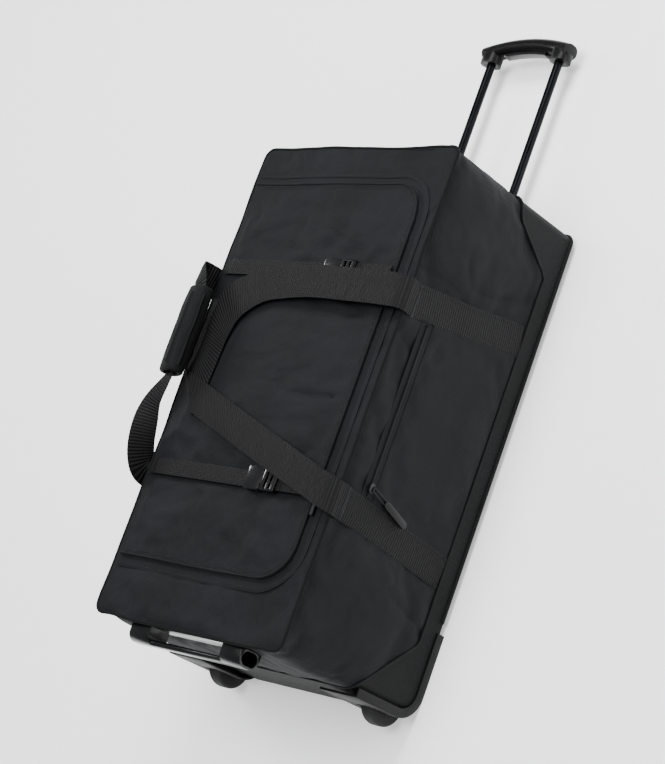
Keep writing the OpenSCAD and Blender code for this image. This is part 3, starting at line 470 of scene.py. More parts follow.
def subdivide(thing: bpy.types.Object, levels: int = 1) -> None:
    """Smooth a cage by subdivision."""
    smoother = thing.modifiers.new("smooth", "SUBSURF")
    smoother.levels = smoother.render_levels = levels
    smoother.boundary_smooth = "PRESERVE_CORNERS"
    apply_modifiers(thing)


def soften_node(node: str, name: str, width: float, material: bpy.types.Material, body: str,
                angle: float = 35.0) -> bpy.types.Object:
    """Copy a hard CAD piece and round its edges, as every moulding's edges are.

    Args:
        node: the CAD node to copy and replace.
        name: the new piece's name.
        width: the edge rounding in millimetres.
        material: its finish.
        body: the body that it rides on.
        angle: edges sharper than this are rounded, in degrees.

    Returns:
        The rounded piece.
    """
    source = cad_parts[node]
    mesh = source.data.copy()
    mesh.materials.clear()
    shape = bmesh.new()
    shape.from_mesh(mesh)
    bmesh.ops.remove_doubles(shape, verts=shape.verts, dist=1e-6)
    bmesh.ops.dissolve_limit(shape, angle_limit=math.radians(1.0), verts=shape.verts, edges=shape.edges)
    shape.to_mesh(mesh)
    shape.free()
    copy = link(mesh, name)
    bevel = copy.modifiers.new("edge", "BEVEL")
    bevel.width = width * MM
    bevel.segments = 2
    bevel.limit_method = "ANGLE"
    bevel.angle_limit = math.radians(angle)
    bevel.use_clamp_overlap = True
    bevel.harden_normals = False
    apply_modifiers(copy)
    smooth_shade(copy, 50.0)
    return finish_piece(copy, material, body, [node])


def dress_node(node: str, material: bpy.types.Material) -> None:
    """Give a CAD node that is kept its finish."""
    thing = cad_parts[node]
    thing.data.materials.clear()
    thing.data.materials.append(material)


def tube(name: str, path: np.ndarray, radius: float, closed: bool = False, sides: int = 10) -> bpy.types.Object:
    """Sweep a round cord along a path.

    Args:
        name: the piece's name.
        path: its middle line in millimetres.
        radius: its radius in millimetres.
        closed: whether the path returns to its start.
        sides: faces round the cord.

    Returns:
        The cord, closed at both ends.
    """
    go = (np.roll(path, -1, axis=0) - np.roll(path, 1, axis=0)) if closed else np.gradient(path, axis=0)
    go /= np.linalg.norm(go, axis=1, keepdims=True)
    up = np.array([0.0, 0.0, 1.0])
    side = np.cross(go, up)
    side /= np.maximum(np.linalg.norm(side, axis=1, keepdims=True), 1e-9)
    lift = np.cross(side, go)
    points = [path[i] + radius * (math.cos(a) * side[i] + math.sin(a) * lift[i]) for i in range(len(path))
              for a in (2 * math.pi * k / sides for k in range(sides))]
    rows = len(path)
    faces: list[Sequence[int]] = grid_faces(rows, sides, wrap=True)
    if closed:
        last = (rows - 1) * sides
        faces += [(last + k, last + (k + 1) % sides, (k + 1) % sides, k) for k in range(sides)]
    else:
        faces += [tuple(range(sides)), tuple(range((rows - 1) * sides, rows * sides))]
    thing = from_arrays(name, np.array(points), faces)
    Band.point_outwards(thing)
    smooth_shade(thing, 60)
    return thing


# ---------------------------------------------------------------- cloth


def crease(points: np.ndarray, size: float, depth: float, stretch: Point, seed: float) -> np.ndarray:
    """Ridged folds over a set of points.

    Args:
        points: places in millimetres.
        size: the spacing of the folds in millimetres.
        depth: their depth in millimetres.
        stretch: how long the folds are along each axis.
        seed: an offset that makes one set of folds unlike another.

    Returns:
        A height in millimetres for each point, from 0 down to minus the depth.
    """
    scale = np.array([1.0 / (size * s) for s in stretch])
    places = points * scale + seed
    heights = np.array([1.0 - abs(noise.noise(Vector(p))) * 2.0 for p in places])
    fade = np.array([noise.noise(Vector(p)) for p in places * 0.8 + 19.0])
    return -depth * np.clip(heights, 0.0, 1.0) ** 6 * np.clip(fade * 2.2 + 0.35, 0.0, 1.0)


def ripple(points: np.ndarray, size: float, depth: float, stretch: Point, seed: float) -> np.ndarray:
    """Soft swells over a set of points, in millimetres."""
    scale = np.array([1.0 / (size * s) for s in stretch])
    return depth * np.array([noise.fractal(Vector(p), 0.6, 2.0, 3) for p in points * scale + seed])


class Drape:
    """The bag's soft sag: one smooth field that moves every sewn piece together."""

    depth: float = 4.2
    size: float = 150.0

    @classmethod
    def hold(cls, points: np.ndarray) -> np.ndarray:
        """How free the cloth is at each point: the back, the handle plates and the wheels hold it still."""
        x, y, z = points.T
        free = np.clip((z - 60.0) / 120.0, 0.0, 1.0)
        grab = np.clip((np.abs(x) - 118.0) / 45.0, 0.0, 1.0) + np.clip((y + 340.0) / 60.0, 0.0, 1.0)
        off_flap_zip = np.clip((np.abs(x - 175.0) - 9.0) / 22.0 + np.clip((np.abs(y) - 255.0) / 40.0, 0.0, 1.0), 0.0, 1.0)
        off_flap_zip = np.where(z > 285.0, off_flap_zip, 1.0)
        near_pocket_zip = (x > 185.0) & (np.abs(y) < 160.0)
        off_pocket_zip = np.where(near_pocket_zip, np.clip((np.abs(z - ZIP_Z) - 14.0) / 24.0, 0.0, 1.0), 1.0)
        return free * np.clip(grab, 0.0, 1.0) * off_flap_zip * off_pocket_zip

    @classmethod
    def move(cls, points: np.ndarray) -> np.ndarray:
        """Where each point goes, in millimetres."""
        free = cls.hold(points)
        shift = np.array([noise.noise_vector(Vector(p)) for p in points / cls.size + 11.3])
        fine = np.array([noise.noise_vector(Vector(p)) for p in points / 55.0 + 4.7])
        moved = (shift * cls.depth + fine * 1.1) * free[:, None]
        moved[:, 2] -= 1.5 * free * np.exp(-((points[:, 1] - 20.0) / 260.0) ** 2)
        return points + moved

    @classmethod
    def apply(cls, thing: bpy.types.Object) -> bpy.types.Object:
        """Move every point of a piece."""
        set_coordinates(thing, cls.move(coordinates(thing)))
        return thing


@dataclass
class ClothPass:
    """One cloth simulation of a sewn panel whose pinned points are its seams."""

    pressure: float = 1.2
    spare: float = 0.012
    frames: int = 18
    bending: float = 0.6
    cap_out: float = 9.0
    cap_in: float = 6.0

    def settle(self, thing: bpy.types.Object, pins: np.ndarray, outward: np.ndarray) -> None:
        """Let the panel puff and wrinkle between its seams, and cap how far it moves.

        Args:
            thing: the panel, an open sheet.
            pins: how firmly each point is held, from 0 to 1.
            outward: the panel's outward direction at each point.
        """
        rest = coordinates(thing)
        group = thing.vertex_groups.new(name="pin")
        for level in np.unique(np.round(pins, 2)):
            group.add(np.nonzero(np.isclose(np.round(pins, 2), level))[0].tolist(), float(level), "REPLACE")
        cloth = thing.modifiers.new("cloth", "CLOTH")
        values = cloth.settings
        values.quality = 6
        values.mass = 0.25
        values.tension_stiffness = values.compression_stiffness = 25.0
        values.shear_stiffness = 12.0
        values.bending_stiffness = self.bending
        values.vertex_group_mass = "pin"
        values.shrink_min = -self.spare
        values.use_pressure = True
        values.uniform_pressure_force = self.pressure
        values.effector_weights.gravity = 0.0
        cloth.point_cache.frame_start = 1
        cloth.point_cache.frame_end = self.frames
        scene = bpy.context.scene
        for number in range(1, self.frames + 1):
            scene.frame_set(number)
        graph = bpy.context.evaluated_depsgraph_get()
        settled = thing.evaluated_get(graph).to_mesh()
        flat = np.empty(len(settled.vertices) * 3)
        settled.vertices.foreach_get("co", flat)
        moved = flat.reshape(-1, 3) / MM - rest
        thing.evaluated_get(graph).to_mesh_clear()
        thing.modifiers.clear()
        thing.vertex_groups.clear()
        scene.frame_set(1)
        moved = np.nan_to_num(moved)
        along = (moved * outward).sum(axis=1, keepdims=True)
        slide = moved - along * outward
        cap = np.where(along > 0, self.cap_out, self.cap_in)
        along = cap * np.tanh(along / cap)
        slide = 4.0 * np.tanh(slide / 4.0)
        set_coordinates(thing, rest + along * outward + slide)


# ---------------------------------------------------------------- rows made by Geometry Nodes


class RowKind(Enum):
    """What stands along a row."""

    STITCH = "stitch"
    TOOTH = "tooth"


@dataclass
class RowMaker:
    """Sets small things along paths: thread stitches, or the teeth of a zip."""

    kind: RowKind
    spacing: float
    size: Point

    def tree(self) -> bpy.types.NodeTree:
        """Build the node tree, with its sizes as named inputs."""
        tree = bpy.data.node_groups.new(f"row_of_{self.kind.value}", "GeometryNodeTree")
        face = tree.interface
        face.new_socket("Paths", in_out="INPUT", socket_type="NodeSocketGeometry")
        face.new_socket("Spacing", in_out="INPUT", socket_type="NodeSocketFloat")
        face.new_socket("Size", in_out="INPUT", socket_type="NodeSocketVector")
        face.new_socket("Up", in_out="INPUT", socket_type="NodeSocketVector")
        face.new_socket("Finish", in_out="INPUT", socket_type="NodeSocketMaterial")
        face.new_socket("Row", in_out="OUTPUT", socket_type="NodeSocketGeometry")
        given = add_node(tree, "NodeGroupInput").outputs
        curve = add_node(tree, "GeometryNodeMeshToCurve", links={"Mesh": given["Paths"]})
        dots = add_node(tree, "GeometryNodeCurveToPoints", {"mode": "LENGTH"},
                        links={"Curve": curve.outputs[0], "Length": given["Spacing"]})
        stood = add_node(tree, "FunctionNodeAlignRotationToVector", {"axis": "Z"}, links={"Vector": given["Up"]})
        turned = add_node(tree, "FunctionNodeAlignRotationToVector", {"axis": "X", "pivot_axis": "Z"},
                          links={"Rotation": stood.outputs[0], "Vector": dots.outputs["Tangent"]})
        if self.kind is RowKind.STITCH:
            one = add_node(tree, "GeometryNodeMeshUVSphere", values={"Segments": 6, "Rings": 4, "Radius": 0.5})
        else:
            one = add_node(tree, "GeometryNodeMeshCube", values={"Size": (1.0, 1.0, 1.0)})
        copies = add_node(tree, "GeometryNodeInstanceOnPoints",
                          links={"Points": dots.outputs["Points"], "Instance": one.outputs["Mesh"],
                                 "Rotation": turned.outputs[0], "Scale": given["Size"]})
        real = add_node(tree, "GeometryNodeRealizeInstances", links={"Geometry": copies.outputs[0]})
        dressed = add_node(tree, "GeometryNodeSetMaterial",
                           links={"Geometry": real.outputs[0], "Material": given["Finish"]})
        add_node(tree, "NodeGroupOutput", links={0: dressed.outputs[0]})
        return tree

    @staticmethod
    def refined(path: Sequence[Point]) -> list[Point]:
        """A path with points every few millimetres, moved with the bag's sag."""
        line = np.array(path, float)
        lengths = np.concatenate([[0.0], np.cumsum(np.linalg.norm(np.diff(line, axis=0), axis=1))])
        marks = np.linspace(0.0, lengths[-1], max(2, int(lengths[-1] / 6)))
        return [tuple(p) for p in Drape.move(np.column_stack([np.interp(marks, lengths, line[:, k])
                                                              for k in range(3)]))]

    def lay(self, name: str, paths: Sequence[Sequence[Point]], up: Point, material: bpy.types.Material
            ) -> bpy.types.Object:
        """Set the row along every path.

        Args:
            name: the piece's name.
            paths: lists of points in millimetres.
            up: the way that the things stand.
            material: their finish.

        Returns:
            One mesh object with all the rows.
        """
        points: list[Point] = []
        edges: list[tuple[int, int]] = []
        for given_path in paths:
            path = self.refined(given_path)
            start = len(points)
            points.extend(path)
            edges.extend((start + i, start + i + 1) for i in range(len(path) - 1))
        mesh = bpy.data.meshes.new(name)
        mesh.from_pydata((np.array(points, float) * MM).tolist(), edges, [])
        thing = link(mesh, name)
        rows = thing.modifiers.new("rows", "NODES")
        rows.node_group = self.tree()
        sockets = {item.name: item.identifier for item in rows.node_group.interface.items_tree
                   if item.in_out == "INPUT"}
        rows[sockets["Spacing"]] = self.spacing * MM
        rows[sockets["Size"]] = [v * MM for v in self.size]
        rows[sockets["Up"]] = list(up)
        rows[sockets["Finish"]] = material
        apply_modifiers(thing)
        thing.data.shade_smooth()
        return thing


def flap_path(grow: float, left: float = 0.0, z: float = 304.0, steps: int = 12) -> list[Point]:
    """The three free sides of the flap, grown outwards, from the lower left round to the upper left."""
    r = FLAP_R + grow
    x1, y0, y1 = FLAP_X[1] + grow, FLAP_Y[0] - grow, FLAP_Y[1] + grow
    points: list[Point] = [(FLAP_X[0] + left, y0, z)]
    for turn, (cx, cy) in enumerate(((x1 - r, y0 + r), (x1 - r, y1 - r))):
        for i in range(steps + 1):
            a = math.radians(-90 + 90 * turn + 90 * i / steps)
            points.append((cx + r * math.cos(a), cy + r * math.sin(a), z))
    points.append((FLAP_X[0] + left, y1, z))
    return points


# ---------------------------------------------------------------- the bag's shell


@dataclass
class BagShell:
    """The sewn body: a wall all round, the front border, and the back tray."""

    step: float = 9.0
    rows_low: int = 8
    rows_high: int = 26
    sides: dict[str, bpy.types.Object] = field(default_factory=dict)

    @staticmethod
    def seam_height(y: float) -> float:
        """Height of the back seam at a place along the bag."""
        return float(np.interp(y, [-380, -282, 296, 322, 350, 380], [142, 44, 44, 84, 130, 142]))

    def outline(self) -> tuple[np.ndarray, np.ndarray]:
        """Points and outward directions round the body's rounded rectangle."""
        wx, wy = SIDE_X - CORNER_R, END_Y - CORNER_R
        places: list[tuple[float, float]] = []
        facing: list[tuple[float, float]] = []

        def straight(a: tuple[float, float], b: tuple[float, float], out: tuple[float, float]) -> None:
            """Add a straight run."""
            count = max(2, round(math.dist(a, b) / self.step))
            for i in range(count):
                t = i / count
                places.append((a[0] + (b[0] - a[0]) * t, a[1] + (b[1] - a[1]) * t))
                facing.append(out)

        def corner(centre: tuple[float, float], start: float) -> None:
            """Add a quarter turn."""
            for i in range(4):
                a = math.radians(start + 90 * i / 4)
                places.append((centre[0] + CORNER_R * math.cos(a), centre[1] + CORNER_R * math.sin(a)))
                facing.append((math.cos(a), math.sin(a)))

        straight((SIDE_X, -wy), (SIDE_X, wy), (1, 0))
        corner((wx, wy), 0)
        straight((wx, END_Y), (-wx, END_Y), (0, 1))
        corner((-wx, wy), 90)
        straight((-SIDE_X, wy), (-SIDE_X, -wy), (-1, 0))
        corner((-wx, -wy), 180)
        straight((-wx, -END_Y), (wx, -END_Y), (0, -1))
        corner((wx, -wy), 270)
        return np.array(places), np.array(facing)

    def wall(self) -> tuple[bpy.types.Object, np.ndarray, int]:
        """Build and settle the wall sheet that runs all round.

        Returns:
            The sheet, the angle position of each column, and the number of columns.
        """
        places, facing = self.outline()
        columns = len(places)
        rows = self.rows_low + self.rows_high + 1
        points, outward, pins = [], [], []
        for r in range(rows):
            for (x, y), (nx, ny) in zip(places, facing):
                seam = self.seam_height(y)
                if r <= self.rows_low:
                    z = 10.0 + (seam - 10.0) * r / self.rows_low
                else:
                    z = seam + (FRONT_Z - 1.5 - seam) * (r - self.rows_low) / self.rows_high
                points.append((x, y, z))
                outward.append((nx, ny, 0.0))
                pins.append(self.pin_of(x, y, z, nx, r, rows))
        faces = grid_faces(rows, columns, wrap=True)
        pinned = np.array(pins)
        sheet = from_arrays("wall_sheet", np.array(points), faces)
        self.puff(sheet, pinned, np.array(outward), ClothPass(pressure=1.4, spare=0.016, cap_out=8.0,
                                                                     cap_in=4.0))
        return sheet, places, columns

    def pin_of(self, x: float, y: float, z: float, nx: float, row: int, rows: int) -> float:
        """How firmly a wall point is held: seams and sewn webbing hold it."""
        if row in (0, 1, self.rows_low, rows - 1):
            return 1.0
        if abs(nx) > 0.9:
            t = (286.0 - z) / 240.0
            for middle in (150.0 + 40.0 * t, -156.0 - 19.0 * t):
                if abs(y - middle) < HAUL_W / 2 + 1:
                    return 1.0
            if x > 0 and abs(z - ZIP_Z) < 14 and -135 < y < 135:
                return 1.0
            if x > 0 and -190 < y < 190 and z < ZIP_Z:
                return 0.85
        if abs(x) < 122 and y < 0 and 244 < z < 292:
            return 0.95
        if y > 0 and abs(x) < 106 and z < 56:
            return 1.0
        return 0.0

    def puff(self, thing: bpy.types.Object, pins: np.ndarray, outward: np.ndarray,
             cloth: ClothPass) -> None:
        cloth.settle(thing, pins, outward)

    def cut(self, sheet: bpy.types.Object, name: str, keep: Callable[[int, int], bool], columns: int
            ) -> bpy.types.Object:
        """Copy the faces of the wall that belong to one panel."""
        points = coordinates(sheet)
        faces = [f for i, f in enumerate(grid_faces(len(points) // columns, columns, wrap=True))
                 if keep(i // columns, i % columns)]
        used = sorted({v for f in faces for v in f})
        renumber = {v: i for i, v in enumerate(used)}
        return from_arrays(name, points[used], [[renumber[v] for v in f] for f in faces])

    def dress_panel(self, thing: bpy.types.Object, seed: float, wrinkle: float, node: str,
                    material: bpy.types.Material) -> None:
        """Refine a panel, wrinkle it away from its edges, thicken it and tie it to the bag."""
        subdivide(thing)
        points, normals = coordinates(thing), vertex_normals(thing)
        edge = np.zeros(len(points), bool)
        shape = bmesh.new()
        shape.from_mesh(thing.data)
        for v in shape.verts:
            edge[v.index] = v.is_boundary
        shape.free()
        height = crease(points, 95, 3.4 * wrinkle, (1.6, 0.7, 1.6), seed) + ripple(points, 60, 1.7 * wrinkle,
                                                                                    (1.0, 1.0, 1.3), seed + 7)
        height[edge] = 0.0
        set_coordinates(thing, Drape.move(points + normals * height[:, None]))
        thicken(thing, 2.4)
        smooth_shade(thing, 60)
        finish_piece(thing, material, "bag", [node])

    def front_border(self, cloth_material: bpy.types.Material) -> None:
        """The fabric round the flap's opening, from the front seam to the zip."""
        count = 330
        inner = self.ring_inner(count)
        outer = self.ring_outer(inner)
        rows = 8
        points = [tuple(np.array(o) * (1 - r / rows) + np.array(i) * (r / rows))
                  for r in range(rows + 1) for o, i in zip(outer, inner)]
        full = np.column_stack([np.array(points), np.full(len(points), FRONT_Z - 0.2)])
        full[:count, 2] = FRONT_Z - 1.4
        faces = grid_faces(rows + 1, count, wrap=True)
        pins = np.zeros((rows + 1, count))
        pins[0] = pins[-1] = pins[-2] = 1.0
        left = np.array([x < -180 for x, _ in outer])
        pins[:, left] = 1.0
        sheet = from_arrays("front_border_cloth", full, faces)
        up = np.tile([0.0, 0.0, 1.0], (len(full), 1))
        self.puff(sheet, pins.ravel(), up, ClothPass(pressure=1.0, spare=0.02, cap_out=4.5, cap_in=3.5))
        lifted = coordinates(sheet)
        ring = np.array(inner)
        away = np.array([np.sqrt(((ring - p[:2]) ** 2).sum(axis=1).min()) for p in full])
        loose = np.clip((away - 25.0) / 14.0, 0.0, 1.0)[:, None]
        set_coordinates(sheet, full + (lifted - full) * loose)
        self.dress_panel(sheet, 31.0, 0.5, "front_border_panel", cloth_material)

    def ring_inner(self, count: int) -> list[tuple[float, float]]:
        """Evenly spaced points round the opening under the flap."""
        path = [(x, y) for x, y, _ in flap_path(-OPENING_INSET, left=6.0)]
        path.append(path[0])
        lengths = np.cumsum([0.0] + [math.dist(a, b) for a, b in zip(path, path[1:])])
        marks = np.linspace(0, lengths[-1], count, endpoint=False)
        return [(float(np.interp(m, lengths, [p[0] for p in path])),
                 float(np.interp(m, lengths, [p[1] for p in path]))) for m in marks]

    def ring_outer(self, inner: Sequence[tuple[float, float]]) -> list[tuple[float, float]]:
        """Points on the body's outline in the same direction from the middle as the inner ones."""
        result = []
        for x, y in inner:
            scale = 1.0 / max(abs(x) / (SIDE_X - 0.1), abs(y) / (END_Y - 0.1))
            px, py = x * scale, y * scale
            cx, cy = SIDE_X - CORNER_R, END_Y - CORNER_R
            if abs(px) > cx and abs(py) > cy:
                away = Vector((abs(px) - cx, abs(py) - cy)).normalized() * (CORNER_R - 0.1)
                px, py = math.copysign(cx + away.x, px), math.copysign(cy + away.y, py)
            result.append((px, py))
        return result

    def build(self, looks: Wardrobe) -> None:
        """Make every panel of the body."""
        sheet, places, columns = self.wall()
        split = self.rows_low
        y = places[:, 1]
        x = places[:, 0]
        side_cut = END_Y - CORNER_R * (1 - math.cos(math.radians(45)))

        def column_y(c: int) -> float:
            """Place of a column's middle along the bag."""
            return float((y[c] + y[(c + 1) % columns]) / 2)

        def column_x(c: int) -> float:
            """Place of a column's middle across the bag."""
            return float((x[c] + x[(c + 1) % columns]) / 2)

        panels = {
            "side_panel_right": lambda r, c: r >= split and abs(column_y(c)) < side_cut and column_x(c) > 0,
            "side_panel_left": lambda r, c: r >= split and abs(column_y(c)) < side_cut and column_x(c) < 0,
            "top_end_panel": lambda r, c: r >= split and column_y(c) >= side_cut,
            "bottom_end_panel": lambda r, c: r >= split and column_y(c) <= -side_cut,
        }
        for number, (node, keep) in enumerate(panels.items()):
            piece = self.cut(sheet, node.replace("panel", "cloth"), keep, columns)
            self.dress_panel(piece, 3.0 + 5 * number, 1.0, node, looks["coated_woven_polyester"])
        bpy.data.objects.remove(sheet)
        self.front_border(looks["coated_woven_polyester"])
        dress_node("back_tray_panel", looks["ballistic_nylon"])
        self.front_piping(looks["zip_tape_cloth"])
        self.back_cords(looks["ballistic_nylon"])

    def front_piping(self, cloth_material: bpy.types.Material) -> None:
        """The corded piping round the front edge."""
        places, facing = self.outline()
        path = np.column_stack([places + facing * 1.6, np.full(len(places), FRONT_Z - 2.6)])
        cord = tube("front_piping_cord", Drape.move(path), 2.5, closed=True)
        finish_piece(cord, cloth_material, "bag", ["front_piping"])

    def back_cords(self, cloth_material: bpy.types.Material) -> None:
        """The piping along the seam between the cloth and the tray, and the rim round the tray's back edge."""
        places, facing = self.outline()
        seam = [(p[0] + n[0] * 1.4, p[1] + n[1] * 1.4, self.seam_height(p[1])) for p, n in zip(places, facing)]
        cord = tube("seam_piping_cord", np.array(seam), 2.0, closed=True)
        finish_piece(cord, cloth_material, "bag", ["seam_piping"])
        rim = np.array([(p[0] + n[0] * 0.4, p[1] + n[1] * 0.4, BACK_Z + 3.4) for p, n in zip(places, facing)
                        if p[1] > -248.0])
        turn = int(np.argmin(np.hypot(rim[:, 0] - SIDE_X, rim[:, 1] + 245.0)))
        edge = tube("back_rim_cord", np.roll(rim, -turn, axis=0), 3.2)
        finish_piece(edge, cloth_material, "bag")


# ---------------------------------------------------------------- flap


@dataclass
class Flap:
    """The padded flap with its piping, and the zip round it."""

    step: float = 9.0

    def shape_point(self, u: float, v: float) -> tuple[float, float]:
        """Map a unit square onto the flap's outline, with its two rounded corners."""
        x = FLAP_X[0] + (FLAP_X[1] - FLAP_X[0]) * u
        y = FLAP_Y[0] + (FLAP_Y[1] - FLAP_Y[0]) * v
        cx = FLAP_X[1] - FLAP_R
        for cy, sign in ((FLAP_Y[0] + FLAP_R, -1), (FLAP_Y[1] - FLAP_R, 1)):
            dx, dy = x - cx, (y - cy) * sign
            if dx > 0 and dy > 0:
                reach = max(dx, dy)
                length = math.hypot(dx, dy)
                x, y = cx + dx * reach / length, cy + sign * dy * reach / length
        return x, y

    def hollow_at(self, y: np.ndarray) -> np.ndarray:
        """How free the cloth is from the compression straps at a place along the bag."""
        near = np.minimum(np.abs(y - STRAP_UPPER_Y), np.abs(y - STRAP_LOWER_Y))
        return np.clip((near - STRAP_W / 2 - 4) / 40.0, 0.0, 1.0)

    def build(self, looks: Wardrobe) -> bpy.types.Object:
        """Make the flap's padded panel."""
        columns, rows = 42, 70
        flat = np.array([self.shape_point(c / (columns - 1), r / (rows - 1))
                         for r in range(rows) for c in range(columns)])
        full = np.column_stack([flat, np.full(len(flat), FLAP_Z[1])])
        faces = grid_faces(rows, columns)
        pins = np.zeros((rows, columns))
        pins[0] = pins[-1] = 1.0
        pins[:, 0] = pins[:, -1] = 1.0
        pins[1] = pins[-2] = 0.9
        pins[:, 1] = pins[:, -2] = 0.9
        pins = pins.ravel()
        pins[self.hollow_at(full[:, 1]) <= 0.0] = 1.0
        sheet = from_arrays("flap_cloth", full, faces)
        up = np.tile([0.0, 0.0, 1.0], (len(full), 1))
        cloth = ClothPass(pressure=1.3, spare=0.02, cap_out=9.0, cap_in=2.0)
        cloth.settle(sheet, pins, up)
        subdivide(sheet)
        points = coordinates(sheet)
        free = self.hollow_at(points[:, 1])
        edge = np.minimum.reduce([points[:, 0] - FLAP_X[0], FLAP_X[1] - points[:, 0],
                                  points[:, 1] - FLAP_Y[0], FLAP_Y[1] - points[:, 1]])
        near_edge = np.clip(edge / 30.0, 0, 1)
        height = crease(points, 110, 4.6, (2.4, 0.55, 1.0), 51.0) + ripple(points, 70, 2.4, (1.6, 0.7, 1.0), 63.0)
        points[:, 2] += height * free * near_edge
        ceiling = np.interp(points[:, 0], [-125.0, -50.0], [308.6, 314.0])
        points[:, 2] = np.clip(points[:, 2], FLAP_Z[1] - 0.4, ceiling)
        set_coordinates(sheet, Drape.move(points))
        thicken(sheet, 3.6)
        smooth_shade(sheet, 60)
        sheet.data.materials.append(looks["coated_woven_polyester"])
        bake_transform(sheet, "bag", "flap", (FLAP_X[0] * MM, 0, 0.2993), ((FLAP_X[0] + 16) * MM, 0, 0.2993))
        finish_piece(sheet, looks["coated_woven_polyester"], "flap", ["flap_panel"])
        self.edges(looks)
        return sheet

    def edges(self, looks: Wardrobe) -> None:
        """The piping on the flap's edge, both zip tapes, and the cloth binding that laps over the outer tape."""
        cord = tube("flap_piping_cord", self.along(-1.8, 302.9), 1.9)
        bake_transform(cord, "bag", "flap", (FLAP_X[0] * MM, 0, 0.2993), ((FLAP_X[0] + 16) * MM, 0, 0.2993))
        finish_piece(cord, looks["coated_woven_polyester"], "flap", ["flap_piping"])
        tapes = (("flap_zip_inner_band", -12.0, -0.4, 298.8, 298.8, 0.9, "zip_tape_cloth", "flap",
                  "flap_zip_inner_tape"),
                 ("flap_zip_outer_band", 0.6, 12.0, 298.6, 298.5, 0.9, "coated_woven_polyester", "bag",
                  "flap_zip_outer_tape"),
                 ("border_binding", 10.4, 18.0, 299.5, 298.5, 1.0, "coated_woven_polyester", "bag", ""))
        for name, inner, outer, z_in, z_out, thick, finish, body, node in tapes:
            strip = Band(thick, across=2).strip(name, self.along(inner, z_in), self.along(outer, z_out))
            finish_piece(strip, looks[finish], body, [node] if node else [])

    @staticmethod
    def along(grow: float, z: float) -> np.ndarray:
        """The flap's free sides as close points on the draped surface."""
        path = np.array(flap_path(grow, 1.0, z))
        lengths = np.concatenate([[0.0], np.cumsum(np.linalg.norm(np.diff(path, axis=0), axis=1))])
        marks = np.linspace(0.0, lengths[-1], 190)
        return Drape.move(np.column_stack([np.interp(marks, lengths, path[:, k]) for k in range(3)]))


# ---------------------------------------------------------------- webbing


def blend4(a: np.ndarray, b: np.ndarray, c: np.ndarray, d: np.ndarray, t: float) -> np.ndarray:
    """A point between b and c on the smooth curve through four points."""
    return 0.5 * (2 * b + (c - a) * t + (2 * a - 5 * b + 4 * c - d) * t ** 2 + (3 * b - a - 3 * c + d) * t ** 3)


def smooth_route(points: Sequence[Sequence[float]], steps: int) -> np.ndarray:
    """Fill a route with points on the smooth curve through it."""
    p = [np.array(v, float) for v in points]
    pick = lambda i: p[max(0, min(len(p) - 1, i))]
    filled = [blend4(pick(i - 1), pick(i), pick(i + 1), pick(i + 2), s / steps)
              for i in range(len(p) - 1) for s in range(steps)]
    return np.array(filled + [p[-1]])


@dataclass
class Band:
    """A woven band between two edges, with a UV map in metres: U across and V along."""

    thickness: float = HAUL_T
    across: int = 6
    belly: float = 0.0

    @staticmethod
    def edges(path: np.ndarray, facing: np.ndarray, widths: Sequence[float] | np.ndarray
              ) -> tuple[np.ndarray, np.ndarray]:
        """The two edges of a band.

        Args:
            path: the middle line in millimetres.
            facing: the way that the flat side looks, at each point.
            widths: the width at each point.

        Returns:
            The points of one edge and of the other.
        """
        go = np.gradient(path, axis=0)
        side = np.cross(facing, go)
        side /= np.linalg.norm(side, axis=1, keepdims=True)
        half = np.asarray(widths)[:, None] / 2
        return path + side * half, path - side * half

    def strip(self, name: str, edge_a: np.ndarray, edge_b: np.ndarray) -> bpy.types.Object:
        """Build the closed band between two edges.

        Args:
            name: the piece's name.
            edge_a: points along one edge.
            edge_b: the matching points of the other.

        Returns:
            The band.
        """
        path = (edge_a + edge_b) / 2
        count, across = len(path), self.across
        along = np.concatenate([[0.0], np.cumsum(np.linalg.norm(np.diff(path, axis=0), axis=1))])
        up = np.cross(np.gradient(path, axis=0), edge_a - edge_b)
        up /= np.linalg.norm(up, axis=1, keepdims=True)
        half = np.linalg.norm(edge_a - edge_b, axis=1) / 2
        points: list[np.ndarray] = []
        uv: list[tuple[float, float]] = []
        for i in range(count):
            for layer in (1, -1):
                for k in range(across + 1):
                    s = 1 - 2 * k / across
                    thin = self.thickness / 2 * (0.45 if k in (0, across) else 1.0)
                    lift = self.belly * (1 - s * s) + layer * thin
                    points.append(path[i] + (edge_a[i] - edge_b[i]) / 2 * s + up[i] * lift)
                    uv.append((s * half[i] * MM, along[i] * MM))
        ring = 2 * (across + 1)
        loop = list(range(across + 1)) + list(range(2 * across + 1, across, -1))
        faces = [(i * ring + loop[k], i * ring + loop[(k + 1) % ring], (i + 1) * ring + loop[(k + 1) % ring],
                  (i + 1) * ring + loop[k]) for i in range(count - 1) for k in range(ring)]
        for end in (0, count - 1):
            for k in range(across):
                a, b = end * ring + k, end * ring + k + 1
                faces.append((a, b, b + across + 1, a + across + 1))
        thing = from_arrays(name, np.array(points), faces)
        layer = thing.data.uv_layers.new(name="band")
        for corner in thing.data.loops:
            layer.data[corner.index].uv = uv[corner.vertex_index]
        self.point_outwards(thing)
        smooth_shade(thing, 70)
        return thing

    def sweep(self, name: str, path: np.ndarray, facing: Sequence[float], width: float) -> bpy.types.Object:
        """Build a band of one width along a path, with its flat side looking one way."""
        return self.strip(name, *self.edges(path, np.tile(np.array(facing, float), (len(path), 1)),
                                            np.full(len(path), width)))

    @staticmethod
    def point_outwards(thing: bpy.types.Object) -> None:
        """Make every face look out of the band."""
        shape = bmesh.new()
        shape.from_mesh(thing.data)
        bmesh.ops.recalc_face_normals(shape, faces=shape.faces)
        shape.to_mesh(thing.data)
        shape.free()


